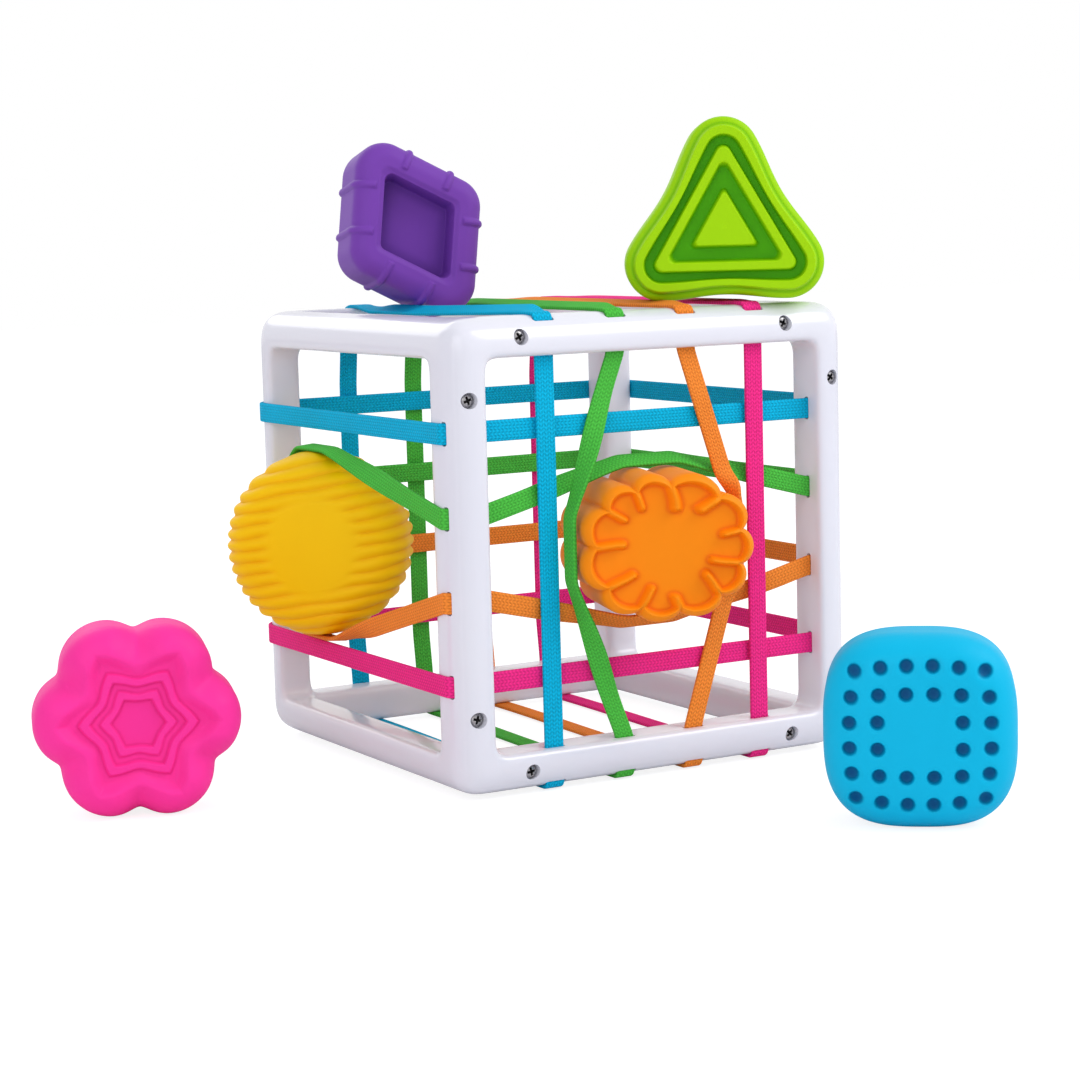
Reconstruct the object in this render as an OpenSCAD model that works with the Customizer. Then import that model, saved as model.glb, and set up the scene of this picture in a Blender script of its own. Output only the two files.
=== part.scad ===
// Shape sorter: an open cube frame laced with eight elastic bands, and six soft shapes.
// Millimetres, +Z up. Origin at the middle of the cube's footprint, on the surface it stands on.
// +X to the right and +Y to the back, seen from the screwed front ring.

/* [Frame] */
// Width, depth and height of the cube frame
frame_w = 150; // [120:1:190]
// Width of every bar of the frame
bar_w = 12.5; // [9:0.5:18]
// Depth of the whole front ring, bezel and core together
front_d = 16; // [13:0.5:24]
// Depth of the front bezel alone
bezel_d = 5.5; // [4.5:0.25:8]
// Rounding of the long outer edges
edge_r = 8; // [4:0.5:9]
// Rounding of the window corners
window_r = 4.5; // [2:0.5:8]

/* [Screws] */
// Distance of each screw from the middle of its bar
screw_reach = 50; // [35:1:60]
// Distance of each screw from the outer edge
screw_inset = 6.2; // [5:0.1:9]
// Screw head diameter
head_d = 4.4; // [3:0.1:5.5]
// Screw head height
head_h = 1.8; // [1:0.1:2.5]
// Screw shank diameter
shank_d = 2.5; // [1.5:0.1:3.5]
// Screw length under the head
shank_l = 11; // [6:0.5:13]

/* [Bands] */
// Width of each elastic band
band_w = 6.8; // [4:0.1:9]
// Thickness of each elastic band
band_t = 1.7; // [0.8:0.1:2.2]
// Distance from band to band
band_pitch = 26.5; // [20:0.5:32]
// Extra length of each slot beside its band
slot_play = 0.4; // [0.2:0.1:1.5]

/* [Round ridged shape] */
// Radius of the round shape
disc_r = 31.3; // [24:0.1:38]
// Thickness of the round shape
disc_t = 35; // [20:1:44]
// Turn of the round shape towards the left
disc_yaw = 36; // [20:0.5:40]
// Number of ridges across its face
ridge_n = 12; // [5:1:18]

/* [Puffy oval shape] */
// Half width of the oval shape over its puffs
oval_a = 28.5; // [22:0.5:36]
// Half height of the oval shape over its puffs
oval_b = 24; // [18:0.5:29]
// Thickness of the oval shape
oval_t = 38; // [24:1:44]
// Depth of the notches between the puffs
notch_in = 3; // [1:0.5:4]

/* [Flower shape] */
// Radius of each of the six lobes
lobe_r = 15; // [11:0.1:17]
// Distance of the lobe centres from the middle
lobe_ring = 17.3; // [14:0.1:22]
// Thickness of the flower shape
flower_t = 31; // [20:1:44]

/* [Square shape] */
// Width of the square shape
square_w = 57; // [42:0.5:70]
// Height of the square shape
square_h = 58.2; // [42:0.1:70]
// Corner radius of the square shape
square_r = 18; // [10:0.5:20]
// Thickness of the square shape
square_t = 34; // [20:1:44]
// Dimple diameter
dimple_d = 4.2; // [2:0.1:5.5]

/* [Rhombus shape] */
// Side of the sharp-cornered rhombus before rounding
rhombus_side = 46.8; // [40:0.1:60]
// Acute angle of the rhombus
rhombus_angle = 69; // [60:1:85]
// Corner radius of the rhombus
rhombus_r = 10; // [5:0.5:12]
// Thickness of the rhombus shape
rhombus_t = 34; // [20:1:44]
// How deep the rhombus corner sits down between two bands
rhombus_sink = 2.5; // [0:0.1:8]

/* [Triangle shape] */
// Distance from the middle to each corner's centre
triangle_ring = 24; // [18:0.5:30]
// Corner radius of the triangle
triangle_r = 12; // [8:0.5:15]
// Thickness of the triangle shape
triangle_t = 34; // [20:1:44]

/* [Hidden] */
$fn = 96;

// Steps over a lofted round edge
edge_steps = 4;

// Clearances
band_gap = 0.1;
grip_gap = 0.35;
head_gap = 0.3;
shank_gap = 0.25;
pilot_gap = 0.05;
eps = 0.01;

// Frame places
lift = band_t + band_gap;
half = frame_w / 2;
mid_z = lift + half;
window_w = frame_w - 2 * bar_w;
window_half = window_w / 2;
front_y = -half;
seam_y = -half + bezel_d;
core_y = -half + front_d;
rear_y = half - bar_w;
slot_l = band_w + 2 * slot_play;
notch_d = band_t + 0.4;
cut_over = 4;

// Band places
inner_pitch = band_pitch / 2;
outer_pitch = band_pitch * 1.5;
skin = half + band_gap + band_t / 2;
turn_r = edge_r + band_gap + band_t / 2;
tight_r = band_t / 2 + 0.2;
seam_play = 0.2;
run_lo = core_y + 1;
flat_front_y = seam_y + seam_play + band_t / 2;
upright_front_y = seam_y - seam_play - band_t / 2;
back_bow = band_t + 0.3;
turn_steps = 5;
run_steps = 5;

// Round shape
disc_edge = 9;
disc_x = -half;
disc_z = mid_z - 2.5;
disc_half_y = disc_r * sin(disc_yaw) + disc_t / 2 * cos(disc_yaw);
disc_y = min(24.3, rear_y - disc_half_y - 1.5);
disc_grip = disc_t / 2 / cos(disc_yaw) - 2;
ridge_tilt = 8;
ridge_depth = 1.2;
ridge_w = 2.2;

// Oval shape
oval_x = -1.5;
oval_y = front_y + 2;
oval_z = mid_z + 0.45;
oval_yaw = 17;
oval_edge = 6;
oval_core = 12;
oval_rim = 6.5;
oval_points = 110;
puff_n = 11;
dish_depth = 3;

// Flower shape
flower_edge = 9;
flower_x = -frame_w * 1.064;
flower_y = -16.2;
flower_yaw = 18;
flower_tilt = 3;
star_tip = 18;
star_dip = 12.5;
star_step = 1.4;
hexagon_r = 10.8;
hexagon_wall = 1.8;
flower_low = lobe_ring * sin(60 + flower_tilt) + lobe_r;

// Square shape
square_edge = 8;
square_x = 27;
square_y = -frame_w * 1.154;
square_yaw = 38;
dimple_n = 6;
dimple_pitch = square_w * 0.139;
dimple_depth = 1.6;

// Rhombus shape
rhombus_edge = 6;
rhombus_x = -inner_pitch * 2;
rhombus_y = 25.5;
rhombus_yaw = 15;
rhombus_turn = 27.4;
rhombus_lean = 6;
rhombus_rim = 8.8;
pocket_depth = 9;
rib_r = 1.2;
rib_reach = 1.6;

// Triangle shape
triangle_edge = 2.6;
rim_set_back = 2.4;
wall_slope = 0.4;
triangle_x = 41;
triangle_y = -min(52, half - 23);
triangle_yaw = 31;
groove_inset = 6.3;
ridge_inset = 9.6;
recess_inset = 12.4;
plateau_inset = 17.6;
step_depth = 2;

band_top = 2 * lift + frame_w;

// Colours
frame_colour = [0.93, 0.93, 0.96];
steel_colour = [0.62, 0.62, 0.64];
blue = [0.0, 0.6, 0.78];
green = [0.27, 0.66, 0.24];
orange = [0.96, 0.46, 0.13];
pink = [0.92, 0.13, 0.47];
yellow = [0.98, 0.76, 0.0];
amber = [1.0, 0.55, 0.05];
purple = [0.49, 0.28, 0.72];
lime = [0.62, 0.83, 0.0];
rose = [0.97, 0.18, 0.55];
aqua = [0.0, 0.68, 0.86];

// ---------- Frame ----------

// Square outline with round corners, centred
module soft_square(w, r) {
  square([w, w - 2 * r], center = true);
  square([w - 2 * r, w], center = true);
  for (sx = [-1, 1])
    for (sy = [-1, 1])
      translate([sx * (w / 2 - r), sy * (w / 2 - r)])
        circle(r = r);
}

// Rounded square prism along one axis through the cube's middle
module prism_y(w, r, y0, y1) {
  translate([0, y1, mid_z])
    rotate([90, 0, 0])
      linear_extrude(height = y1 - y0)
        soft_square(w, r);
}

module prism_x(w, r) {
  translate([-half - cut_over, 0, mid_z])
    rotate([90, 0, 90])
      linear_extrude(height = frame_w + 2 * cut_over)
        soft_square(w, r);
}

module prism_z(w, r) {
  translate([0, 0, lift - cut_over])
    linear_extrude(height = frame_w + 2 * cut_over)
      soft_square(w, r);
}

// One ring of the cube between two depths, with the cube's own round edges
module ring(y0, y1) {
  difference() {
    intersection() {
      prism_y(frame_w, edge_r, y0, y1);
      prism_x(frame_w, edge_r);
      prism_z(frame_w, edge_r);
    }
    prism_y(window_w, window_r, y0 - 1, y1 + 1);
  }
}

// Screw places: across and up from the middle of the front
screw_edge = half - screw_inset;
screw_top = [[-screw_reach, screw_edge], [screw_reach, screw_edge]];
screw_bottom = [[-screw_reach, -screw_edge], [screw_reach, -screw_edge]];
screw_left = [[-screw_edge, -screw_reach], [-screw_edge, screw_reach]];
screw_right = [[screw_edge, -screw_reach], [screw_edge, screw_reach]];
screw_places = concat(screw_top, screw_bottom, screw_left, screw_right);
head_seat_y = front_y + 3.2;

module rod_y(at, r, y0, y1) {
  translate([at[0], y1, mid_z + at[1]])
    rotate([90, 0, 0])
      cylinder(r = r, h = y1 - y0);
}

module front_bezel() {
  color(frame_colour)
    difference() {
      ring(front_y, seam_y);
      for (at = screw_places) {
        rod_y(at, head_d / 2 + head_gap, front_y - 1, head_seat_y);
        rod_y(at, shank_d / 2 + shank_gap, front_y, seam_y + 1);
      }
      for (i = [-1.5, -0.5, 0.5, 1.5])
        translate([i * band_pitch - slot_l / 2, seam_y - notch_d, lift - cut_over])
          cube([slot_l, notch_d + 1, frame_w + 2 * cut_over]);
    }
}

module core_ring() {
  color(frame_colour)
    difference() {
      ring(seam_y, core_y);
      for (at = screw_places)
        rod_y(at, shank_d / 2 + pilot_gap, seam_y - 1, head_seat_y + shank_l + 0.5);
      for (i = [-1.5, -0.5, 0.5, 1.5])
        translate([-half - cut_over, seam_y - 1, mid_z + i * band_pitch - slot_l / 2])
          cube([frame_w + 2 * cut_over, notch_d + 1, slot_l]);
    }
}

module rear_ring() {
  color(frame_colour)
    ring(rear_y, half);
}

// One bar along the depth of the cube, at one of its four long edges
module rail(sx, sz) {
  side = bar_w - edge_r;
  color(frame_colour)
    translate([sx * window_half, rear_y, mid_z + sz * window_half])
      rotate([90, 0, 0])
        linear_extrude(height = rear_y - core_y)
          scale([sx, sz]) {
            square([bar_w, side]);
            square([side, bar_w]);
            translate([side, side])
              intersection() {
                circle(r = edge_r);
                square([edge_r, edge_r]);
              }
          }
}

module rail_top_left() { rail(-1, 1); }

module rail_top_right() { rail(1, 1); }

module rail_bottom_left() { rail(-1, -1); }

module rail_bottom_right() { rail(1, -1); }

// Pan head screw with a cross recess, head towards the front
module screw(at) {
  recess = head_d * 0.62;
  blade = head_d * 0.16;
  color(steel_colour)
    difference() {
      union() {
        rod_y(at, head_d / 2, head_seat_y - head_h, head_seat_y);
        rod_y(at, shank_d / 2, head_seat_y - eps, head_seat_y + shank_l);
      }
      for (turn = [0, 90])
        translate([at[0], head_seat_y - head_h, mid_z + at[1]])
          rotate([0, turn + 20, 0])
            cube([recess, head_h, blade], center = true);
    }
}

module screw_top_left() { screw(screw_top[0]); }

module screw_top_right() { screw(screw_top[1]); }

module screw_bottom_left() { screw(screw_bottom[0]); }

module screw_bottom_right() { screw(screw_bottom[1]); }

module screw_left_low() { screw(screw_left[0]); }

module screw_left_high() { screw(screw_left[1]); }

module screw_right_low() { screw(screw_right[0]); }

module screw_right_high() { screw(screw_right[1]); }

// ---------- Bands ----------

// How much of a bow a band has at place p along a run from lo to hi, when it passes
// over something between p0 and p1
function hold(p, p0, p1, lo, hi) =
  p < p0 ? max(0, (p - lo) / (p0 - lo)) :
  p > p1 ? max(0, (hi - p) / (hi - p1)) : 1;

// Places along one run: evenly up to the held stretch, over it, and out again
function run(p0, p1, lo, hi) = concat(
  [for (i = [0:run_steps - 1]) lo + (p0 - lo) * i / run_steps],
  [for (i = [0:run_steps - 1]) p0 + (p1 - p0) * i / run_steps],
  [for (i = [0:run_steps]) p1 + (hi - p1) * i / run_steps]
);

// Half of a band's size across its run's plane once it is twisted by an angle
function reach_out(twist) = abs(sin(twist)) * band_w / 2 + abs(cos(twist)) * band_t / 2;

// Stations of a front run, kept on its own side of the seam while it twists
function front_run(f, side, facing) = [
  for (p = run(f[0], f[1], -window_half, window_half))
    let (
      h = hold(p, f[0], f[1], -window_half, window_half),
      out = seam_y + side * (seam_play + reach_out(f[3] * h))
    )
      facing == 270 ? [p, out, f[2] * h, f[3] * h, facing] : [out, p, f[2] * h, f[3] * h, facing]
];

function rev(list) = [for (i = [len(list) - 1:-1:0]) list[i]];

// A station is [along, out, across, twist, facing]: a place in the band's loop plane,
// the shift out of that plane, the twist, and the angle that its outer side faces
function corner(cx, cy, r, from) = [
  for (i = [0:turn_steps])
    let (a = from + 90 * i / turn_steps)
      [cx + r * cos(a), cy + r * sin(a), 0, 0, a]
];

function place(station, upright) =
  upright ? [station[2], station[0], mid_z + station[1]] : [station[0], station[1], station[2]];

function section(station, upright) =
  let (
    flat_out = [cos(station[4]), sin(station[4])],
    out = upright ? [0, flat_out[0], flat_out[1]] : [flat_out[0], flat_out[1], 0],
    wide = upright ? [1, 0, 0] : [0, 0, 1],
    w = (wide * cos(station[3]) + out * sin(station[3])) * band_w / 2,
    t = (out * cos(station[3]) - wide * sin(station[3])) * band_t / 2,
    at = place(station, upright)
  )
    [at + w + t, at - w + t, at - w - t, at + w - t];

// A closed loop of flat elastic through all its stations
module loop(stations, upright) {
  n = len(stations);
  points = [for (s = stations) each section(s, upright)];
  faces = [
    for (i = [0:n - 1])
      for (k = [0:3])
        let (
          a = 4 * i + k,
          b = 4 * i + (k + 1) % 4,
          c = 4 * ((i + 1) % n) + (k + 1) % 4,
          d = 4 * ((i + 1) % n) + k
        )
          each upright ? [[a, b, c], [a, c, d]] : [[a, c, b], [a, d, c]]
  ];
  polyhedron(points = points, faces = faces, convexity = 6);
}

// Seen from above, a flat band runs left to right across the front, then back and round
// front holds [start, end, bow, twist] of the run across the front, side the same down the left side
module flat_band(z, front, side) {
  x_in = skin - tight_r;
  y_in = flat_front_y + tight_r;
  turn_in = skin - turn_r;
  stations = concat(
    corner(-x_in, y_in, tight_r, 180),
    front_run(front, 1, 270),
    corner(x_in, y_in, tight_r, 270),
    corner(turn_in, turn_in, turn_r, 0),
    corner(-turn_in, turn_in, turn_r, 90),
    [
      for (y = rev(run(side[0], side[1], run_lo, window_half)))
        let (h = hold(y, side[0], side[1], run_lo, window_half))
          [-skin, y, side[2] * h, side[3] * h, 180]
    ]
  );
  translate([0, 0, z])
    loop(stations, false);
}

// An upright band runs up the front, back over the top and down the back, outside the flat bands
// front holds [start, end, bow, twist] of the run up the front, top the same over the top
module upright_band(x, front, top) {
  y_in = upright_front_y + tight_r;
  z_in = skin - tight_r;
  turn_in = skin - turn_r;
  stations = concat(
    corner(y_in, -z_in, tight_r, 180),
    [[core_y, -skin, 0, 0, 270]],
    corner(turn_in, -turn_in, turn_r, 270),
    [
      for (z = run(0, 0, -window_half, window_half))
        [skin + back_bow * min(1, 4 * hold(z, 0, 0, -window_half, window_half)), z, 0, 0, 0]
    ],
    corner(turn_in, turn_in, turn_r, 0),
    [
      for (y = rev(run(top[0], top[1], run_lo, window_half)))
        [y, skin, top[2] * hold(y, top[0], top[1], run_lo, window_half), 0, 90]
    ],
    corner(y_in, z_in, tight_r, 90),
    rev(front_run(front, -1, 180))
  );
  translate([x, 0, 0])
    loop(stations, true);
}

// Bows of the inner bands past the oval shape and the round shape, measured from their own places
grip = grip_gap + band_t / 2;
twisted_y = seam_y - seam_play - band_w / 2;
// Furthest left (-1) or right (1) that the turned oval reaches beside a band twisted edge on
function oval_wall(side) =
  oval_x + side * oval_a / cos(oval_yaw) + (twisted_y + side * band_w / 2 - oval_y) * tan(oval_yaw);
oval_mid = oval_z - mid_z;
disc_mid = disc_z - mid_z;
oval_up = max(0, oval_mid + oval_b + grip - inner_pitch);
oval_down = min(0, oval_mid - oval_b - grip + inner_pitch);
oval_left = min(0, oval_wall(-1) - grip + inner_pitch);
oval_right = max(0, oval_wall(1) + grip - inner_pitch);
disc_up = max(0, disc_mid + disc_r + grip - inner_pitch);
disc_down = min(0, disc_mid - disc_r - grip + inner_pitch);
// Outer bands only move when an inner band comes up to them
step = band_w / 2 + band_t / 2 + grip_gap;
outer_oval_up = max(0, inner_pitch + oval_up + step - outer_pitch);
outer_oval_down = min(0, oval_down - inner_pitch - step + outer_pitch);
outer_oval_left = min(0, oval_left - inner_pitch - step + outer_pitch);
outer_oval_right = max(0, inner_pitch + oval_right + step - outer_pitch);
outer_disc_up = max(0, inner_pitch + disc_up + step - outer_pitch);
outer_disc_down = min(0, disc_down - inner_pitch - step + outer_pitch);
oval_flat = 15;
oval_tall = 13;
disc_y0 = max(run_lo + 8, disc_y - disc_grip);
disc_y1 = min(window_half - 6, disc_y + disc_grip);

// The rhombus corner spreads the two bands that it sits between
rhombus_spread_half = (rhombus_t / 2 - rhombus_edge * 2 / 3) * sin(rhombus_yaw);
rhombus_dip = rhombus_sink + (rhombus_t / 2 - rhombus_edge) * sin(rhombus_lean);
rhombus_chord = sqrt(max(0, rhombus_dip * (2 * rhombus_r - rhombus_dip)));
rhombus_bow = max(0, rhombus_chord + rhombus_spread_half + 3 * grip_gap - (inner_pitch - band_w / 2));
rhombus_y0 = rhombus_y - rhombus_t / 2 - 3;
rhombus_y1 = rhombus_y + rhombus_t / 2 + 3;

module band_blue_flat() {
  color(blue)
    flat_band(
      mid_z + outer_pitch,
      [oval_x - oval_flat, oval_x + oval_flat, outer_oval_up, 0],
      [disc_y0, disc_y1, outer_disc_up, 0]
    );
}

module band_green_flat() {
  color(green)
    flat_band(
      mid_z + inner_pitch,
      [oval_x - oval_flat, oval_x + oval_flat, oval_up, 90],
      [disc_y0, disc_y1, disc_up, 90]
    );
}

module band_orange_flat() {
  color(orange)
    flat_band(
      mid_z - inner_pitch,
      [oval_x - oval_flat, oval_x + oval_flat, oval_down, -90],
      [disc_y0, disc_y1, disc_down, -90]
    );
}

module band_pink_flat() {
  color(pink)
    flat_band(
      mid_z - outer_pitch,
      [oval_x - oval_flat, oval_x + oval_flat, outer_oval_down, 0],
      [disc_y0, disc_y1, outer_disc_down, 0]
    );
}

module band_blue_upright() {
  color(blue)
    upright_band(
      -outer_pitch,
      [oval_mid - oval_tall, oval_mid + oval_tall, outer_oval_left, 0],
      [rhombus_y0, rhombus_y1, -rhombus_bow, 0]
    );
}

module band_green_upright() {
  color(green)
    upright_band(
      -inner_pitch,
      [oval_mid - oval_tall, oval_mid + oval_tall, oval_left, 90],
      [rhombus_y0, rhombus_y1, rhombus_bow, 0]
    );
}

module band_orange_upright() {
  color(orange)
    upright_band(
      inner_pitch,
      [oval_mid - oval_tall, oval_mid + oval_tall, oval_right, -90],
      [-10, 10, 0, 0]
    );
}

module band_pink_upright() {
  color(pink)
    upright_band(
      outer_pitch,
      [oval_mid - oval_tall, oval_mid + oval_tall, outer_oval_right, 0],
      [-10, 10, 0, 0]
    );
}

// ---------- Soft shapes ----------

// Half section of a round-edged slab: r from its axis, t thick, with edge radius e
module rim(r, t, e) {
  translate([0, -t / 2])
    square([r - e, t]);
  translate([0, e - t / 2])
    square([r, t - 2 * e]);
  for (s = [-1, 1])
    translate([r - e, s * (t / 2 - e)])
      intersection() {
        circle(r = e);
        translate([0, -e])
          square([e, 2 * e]);
      }
}

// Round-edged slab whose outline goes round circles of radius r at a convex ring of points
module slab(pts, r, t, e) {
  n = len(pts);
  translate([0, 0, -t / 2])
    linear_extrude(height = t)
      polygon(pts);
  for (i = [0:n - 1]) {
    a = pts[i];
    b = pts[(i + 1) % n];
    run_l = norm(b - a);
    heading = atan2(b[1] - a[1], b[0] - a[0]);
    translate([a[0], a[1], 0])
      rotate_extrude()
        rim(r, t, e);
    translate([a[0], a[1], 0])
      rotate([0, 0, heading])
        rotate([90, 0, 90])
          linear_extrude(height = run_l)
            mirror([1, 0, 0])
              rim(r, t, e);
  }
}

function turned(v, a) = [v[0] * cos(a) - v[1] * sin(a), v[0] * sin(a) + v[1] * cos(a)];

// Stands a shape that lies in the XY plane upright, its +Z face to the front, turned to the left
module upright_shape(at, yaw) {
  translate(at)
    rotate([90, 0, -yaw])
      children();
}

module shape_disc() {
  color(yellow)
    upright_shape([disc_x, disc_y, disc_z], disc_yaw)
      difference() {
        rotate_extrude()
          rim(disc_r, disc_t, disc_edge);
        for (face = [-1, 1])
          rotate([0, 0, -ridge_tilt])
            for (i = [0:ridge_n - 1]) {
              pitch = 2 * (disc_r - 5) / ridge_n;
              translate([0, (i - (ridge_n - 1) / 2) * pitch, face * disc_t / 2])
                cube([2 * disc_r, ridge_w, 2 * ridge_depth], center = true);
            }
      }
}

// Base of a loft: [core point, outward direction, rib height]; one arc of it round a corner
function arc_base(p, from, to, n) = [
  for (i = [0:n])
    let (a = from + (to - from) * i / n)
      [p, [cos(a), sin(a)], 0]
];

// Angle that the outer side of a polygon's edge faces, for a counterclockwise ring
function facing(pts, i) =
  let (n = len(pts), d = pts[(i + 1) % n] - pts[i % n])
    atan2(d[1], d[0]) - 90;

// Five base points over one rib that stands on the edge after corner i, at fraction k of it
function rib_base(pts, i, k) =
  let (
    a = pts[i],
    b = pts[(i + 1) % len(pts)],
    f = facing(pts, i),
    along = (b - a) / norm(b - a)
  )
    [for (s = [-2:2]) [a + (b - a) * k + along * s * rib_r / 2, [cos(f), sin(f)], rib_r * cos(s * 45)]];

function wrap(a) = a < 0 ? a + 360 : a;

// Base round a convex ring of corners, with ribs at the given fractions of every edge
function ring_base(pts, n, ribs) = [
  for (i = [0:len(pts) - 1])
    let (
      from = facing(pts, i + len(pts) - 1),
      to = from + wrap(facing(pts, i) - from)
    )
      each concat(
        arc_base(pts[i], from, to, n),
        [for (k = ribs) each rib_base(pts, i, k)]
      )
];

// A row is [inset, height, lean, rib weight]; the core shrinks once the inset passes the radius
function loft_point(b, row, r, reach) =
  let (
    keep = max(1, r - row[0]),
    k = 1 - (row[0] - (r - keep)) / reach,
    rib = b[2] * row[3],
    flat = b[0] * k + b[1] * (keep + rib * sin(row[2]))
  )
    [flat[0], flat[1], row[1] + rib * cos(row[2])];

// Closed skin through rows of rings, from the front face round the edge to the back face
module loft(base, rows, r, reach) {
  n = len(base);
  m = len(rows);
  last = n * m + 1;
  points = concat(
    [[0, 0, rows[0][1]]],
    [for (row = rows) for (b = base) loft_point(b, row, r, reach)],
    [[0, 0, rows[m - 1][1]]]
  );
  faces = concat(
    [for (i = [0:n - 1]) [0, 1 + (i + 1) % n, 1 + i]],
    [
      for (j = [0:m - 2])
        for (i = [0:n - 1])
          let (
            a = 1 + j * n + i,
            b = 1 + j * n + (i + 1) % n
          )
            each [[a, b, b + n], [a, b + n, a + n]]
    ],
    [for (i = [0:n - 1]) [last, last - n + i, last - n + (i + 1) % n]]
  );
  polyhedron(points = points, faces = faces, convexity = 8);
}

// Rows over a round edge of radius e, for the front (s = 1) or the back (s = -1)
function edge_rows(t, e, w, s) = [
  for (i = [0:edge_steps])
    let (a = 90 * i / edge_steps)
      [e * (1 - sin(a)), s * (t / 2 - e * (1 - cos(a))), s > 0 ? a : 180 - a, w]
];

function rows_back(rows) = [for (i = [len(rows) - 1:-1:0]) rows[i]];

// Base of the oval: an ellipse of core points with a swell for each puff
function oval_base() = [
  for (i = [0:oval_points - 1])
    let (
      a = 360 * i / oval_points,
      out = [(oval_b - oval_core) * cos(a), (oval_a - oval_core) * sin(a)]
    )
      [
        [(oval_a - oval_core) * cos(a), (oval_b - oval_core) * sin(a)],
        out / norm(out),
        notch_in * sqrt(abs(cos(a * puff_n / 2)))
      ]
];

// Rows of one face of the oval, from its dish over the rim and the round edge
function oval_rows(s) = concat(
  [[oval_rim + 1, s * (oval_t / 2 - dish_depth), 90, 1], [oval_rim, s * oval_t / 2, 90, 1]],
  [for (row = edge_rows(oval_t, oval_edge, 1, s)) [row[0], row[1], 90, 1]]
);

module shape_oval() {
  color(amber)
    upright_shape([oval_x, oval_y, oval_z], oval_yaw)
      loft(
        oval_base(),
        concat(oval_rows(1), rows_back(oval_rows(-1))),
        oval_core - notch_in,
        oval_b - oval_core
      );
}

// Corners of the star sunk into the flower's faces
star_pts = [for (i = [0:11]) (i % 2 == 0 ? star_tip : star_dip) * [cos(30 * i), sin(30 * i)]];

module shape_flower() {
  color(rose)
    upright_shape([flower_x, flower_y, flower_low], flower_yaw)
      rotate([0, 0, flower_tilt])
        difference() {
          union() {
            for (i = [0:5])
              translate([lobe_ring * cos(60 * i), lobe_ring * sin(60 * i), 0])
                rotate_extrude()
                  rim(lobe_r, flower_t, flower_edge);
            translate([0, 0, -flower_t / 2])
              cylinder(r = lobe_ring, h = flower_t);
          }
          for (face = [0, 180])
            rotate([0, face, 0])
              translate([0, 0, flower_t / 2 - star_step])
                difference() {
                  linear_extrude(height = star_step + 1)
                    polygon(star_pts);
                  linear_extrude(height = star_step + 1)
                    difference() {
                      circle(r = hexagon_r, $fn = 6);
                      circle(r = hexagon_r - hexagon_wall, $fn = 6);
                    }
                }
        }
}

square_pts = [
  [-square_w / 2 + square_r, -square_h / 2 + square_r], [square_w / 2 - square_r, -square_h / 2 + square_r],
  [square_w / 2 - square_r, square_h / 2 - square_r], [-square_w / 2 + square_r, square_h / 2 - square_r]
];

module shape_square() {
  middle = (dimple_n - 1) / 2;
  color(aqua)
    upright_shape([square_x, square_y, square_h / 2], square_yaw)
      difference() {
        slab(square_pts, square_r, square_t, square_edge);
        for (face = [-1, 1])
          for (i = [0:dimple_n - 1])
            for (j = [0:dimple_n - 1])
              if (abs(i - middle) > 1 || abs(j - middle) > 1)
                translate([(i - middle) * dimple_pitch, (j - middle) * dimple_pitch, face * square_t / 2])
                  cylinder(r = dimple_d / 2, h = 2 * dimple_depth, center = true);
      }
}

// Rhombus corners round the middle, the acute ones turned near the upright
rhombus_long = rhombus_side * cos(rhombus_angle / 2);
rhombus_short = rhombus_side * sin(rhombus_angle / 2);
rhombus_back_off = rhombus_r / sin(rhombus_angle / 2);
rhombus_keep = 1 - rhombus_back_off / rhombus_long;
function rhombus_pts(k) = [
  for (v = [[0, -rhombus_long], [rhombus_short, 0], [0, rhombus_long], [-rhombus_short, 0]])
    turned(v * k, rhombus_turn)
];
rhombus_foot = rhombus_pts(rhombus_keep)[0];
rhombus_mid_z = band_top - rhombus_sink - rhombus_foot[1] + rhombus_r;
rhombus_reach = rhombus_long * rhombus_keep * sin(rhombus_angle / 2);

// Rows of one face of the rhombus, from the pocket floor out over the ribbed edge
function rhombus_rows(s) =
  let (t = rhombus_t / 2, lean = s > 0 ? 0 : 180)
    concat(
      [
        [rhombus_rim + 1, s * (t - pocket_depth), lean, 0],
        [rhombus_rim, s * (t - 1), lean, 0],
        [rhombus_rim - 1, s * t, lean, 0],
        [rhombus_edge + rib_reach, s * t, lean, 0],
        [rhombus_edge + rib_reach - 0.6, s * t, lean, 1]
      ],
      edge_rows(rhombus_t, rhombus_edge, 1, s)
    );

module shape_rhombus() {
  color(purple)
    upright_shape(
      [
        rhombus_x - rhombus_foot[0] * cos(rhombus_yaw),
        rhombus_y + rhombus_foot[0] * sin(rhombus_yaw),
        rhombus_mid_z
      ],
      rhombus_yaw
    )
      rotate([-rhombus_lean, 0, 0])
        loft(
          ring_base(rhombus_pts(rhombus_keep), 6, [0.2, 0.8]),
          concat(rhombus_rows(1), rows_back(rhombus_rows(-1))),
          rhombus_r,
          rhombus_reach
        );
}

triangle_pts = [for (a = [-150, -30, 90]) triangle_ring * [cos(a), sin(a)]];
triangle_low = triangle_ring / 2 + triangle_r;

// Rows of one face of the triangle, from its raised middle over a ridge and the rim to the set-back edge
function triangle_rows(s) =
  let (top = s * triangle_t / 2, low = s * (triangle_t / 2 - step_depth))
    concat(
      [
        [plateau_inset, top, 0, 0],
        [plateau_inset - wall_slope, low, 0, 0],
        [recess_inset + wall_slope, low, 0, 0],
        [recess_inset, top, 0, 0],
        [ridge_inset, top, 0, 0],
        [ridge_inset - wall_slope, low, 0, 0],
        [groove_inset + wall_slope, low, 0, 0],
        [groove_inset, top, 0, 0],
        [triangle_edge + wall_slope, top, 0, 0]
      ],
      edge_rows(triangle_t - 2 * rim_set_back, triangle_edge, 0, s)
    );

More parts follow.
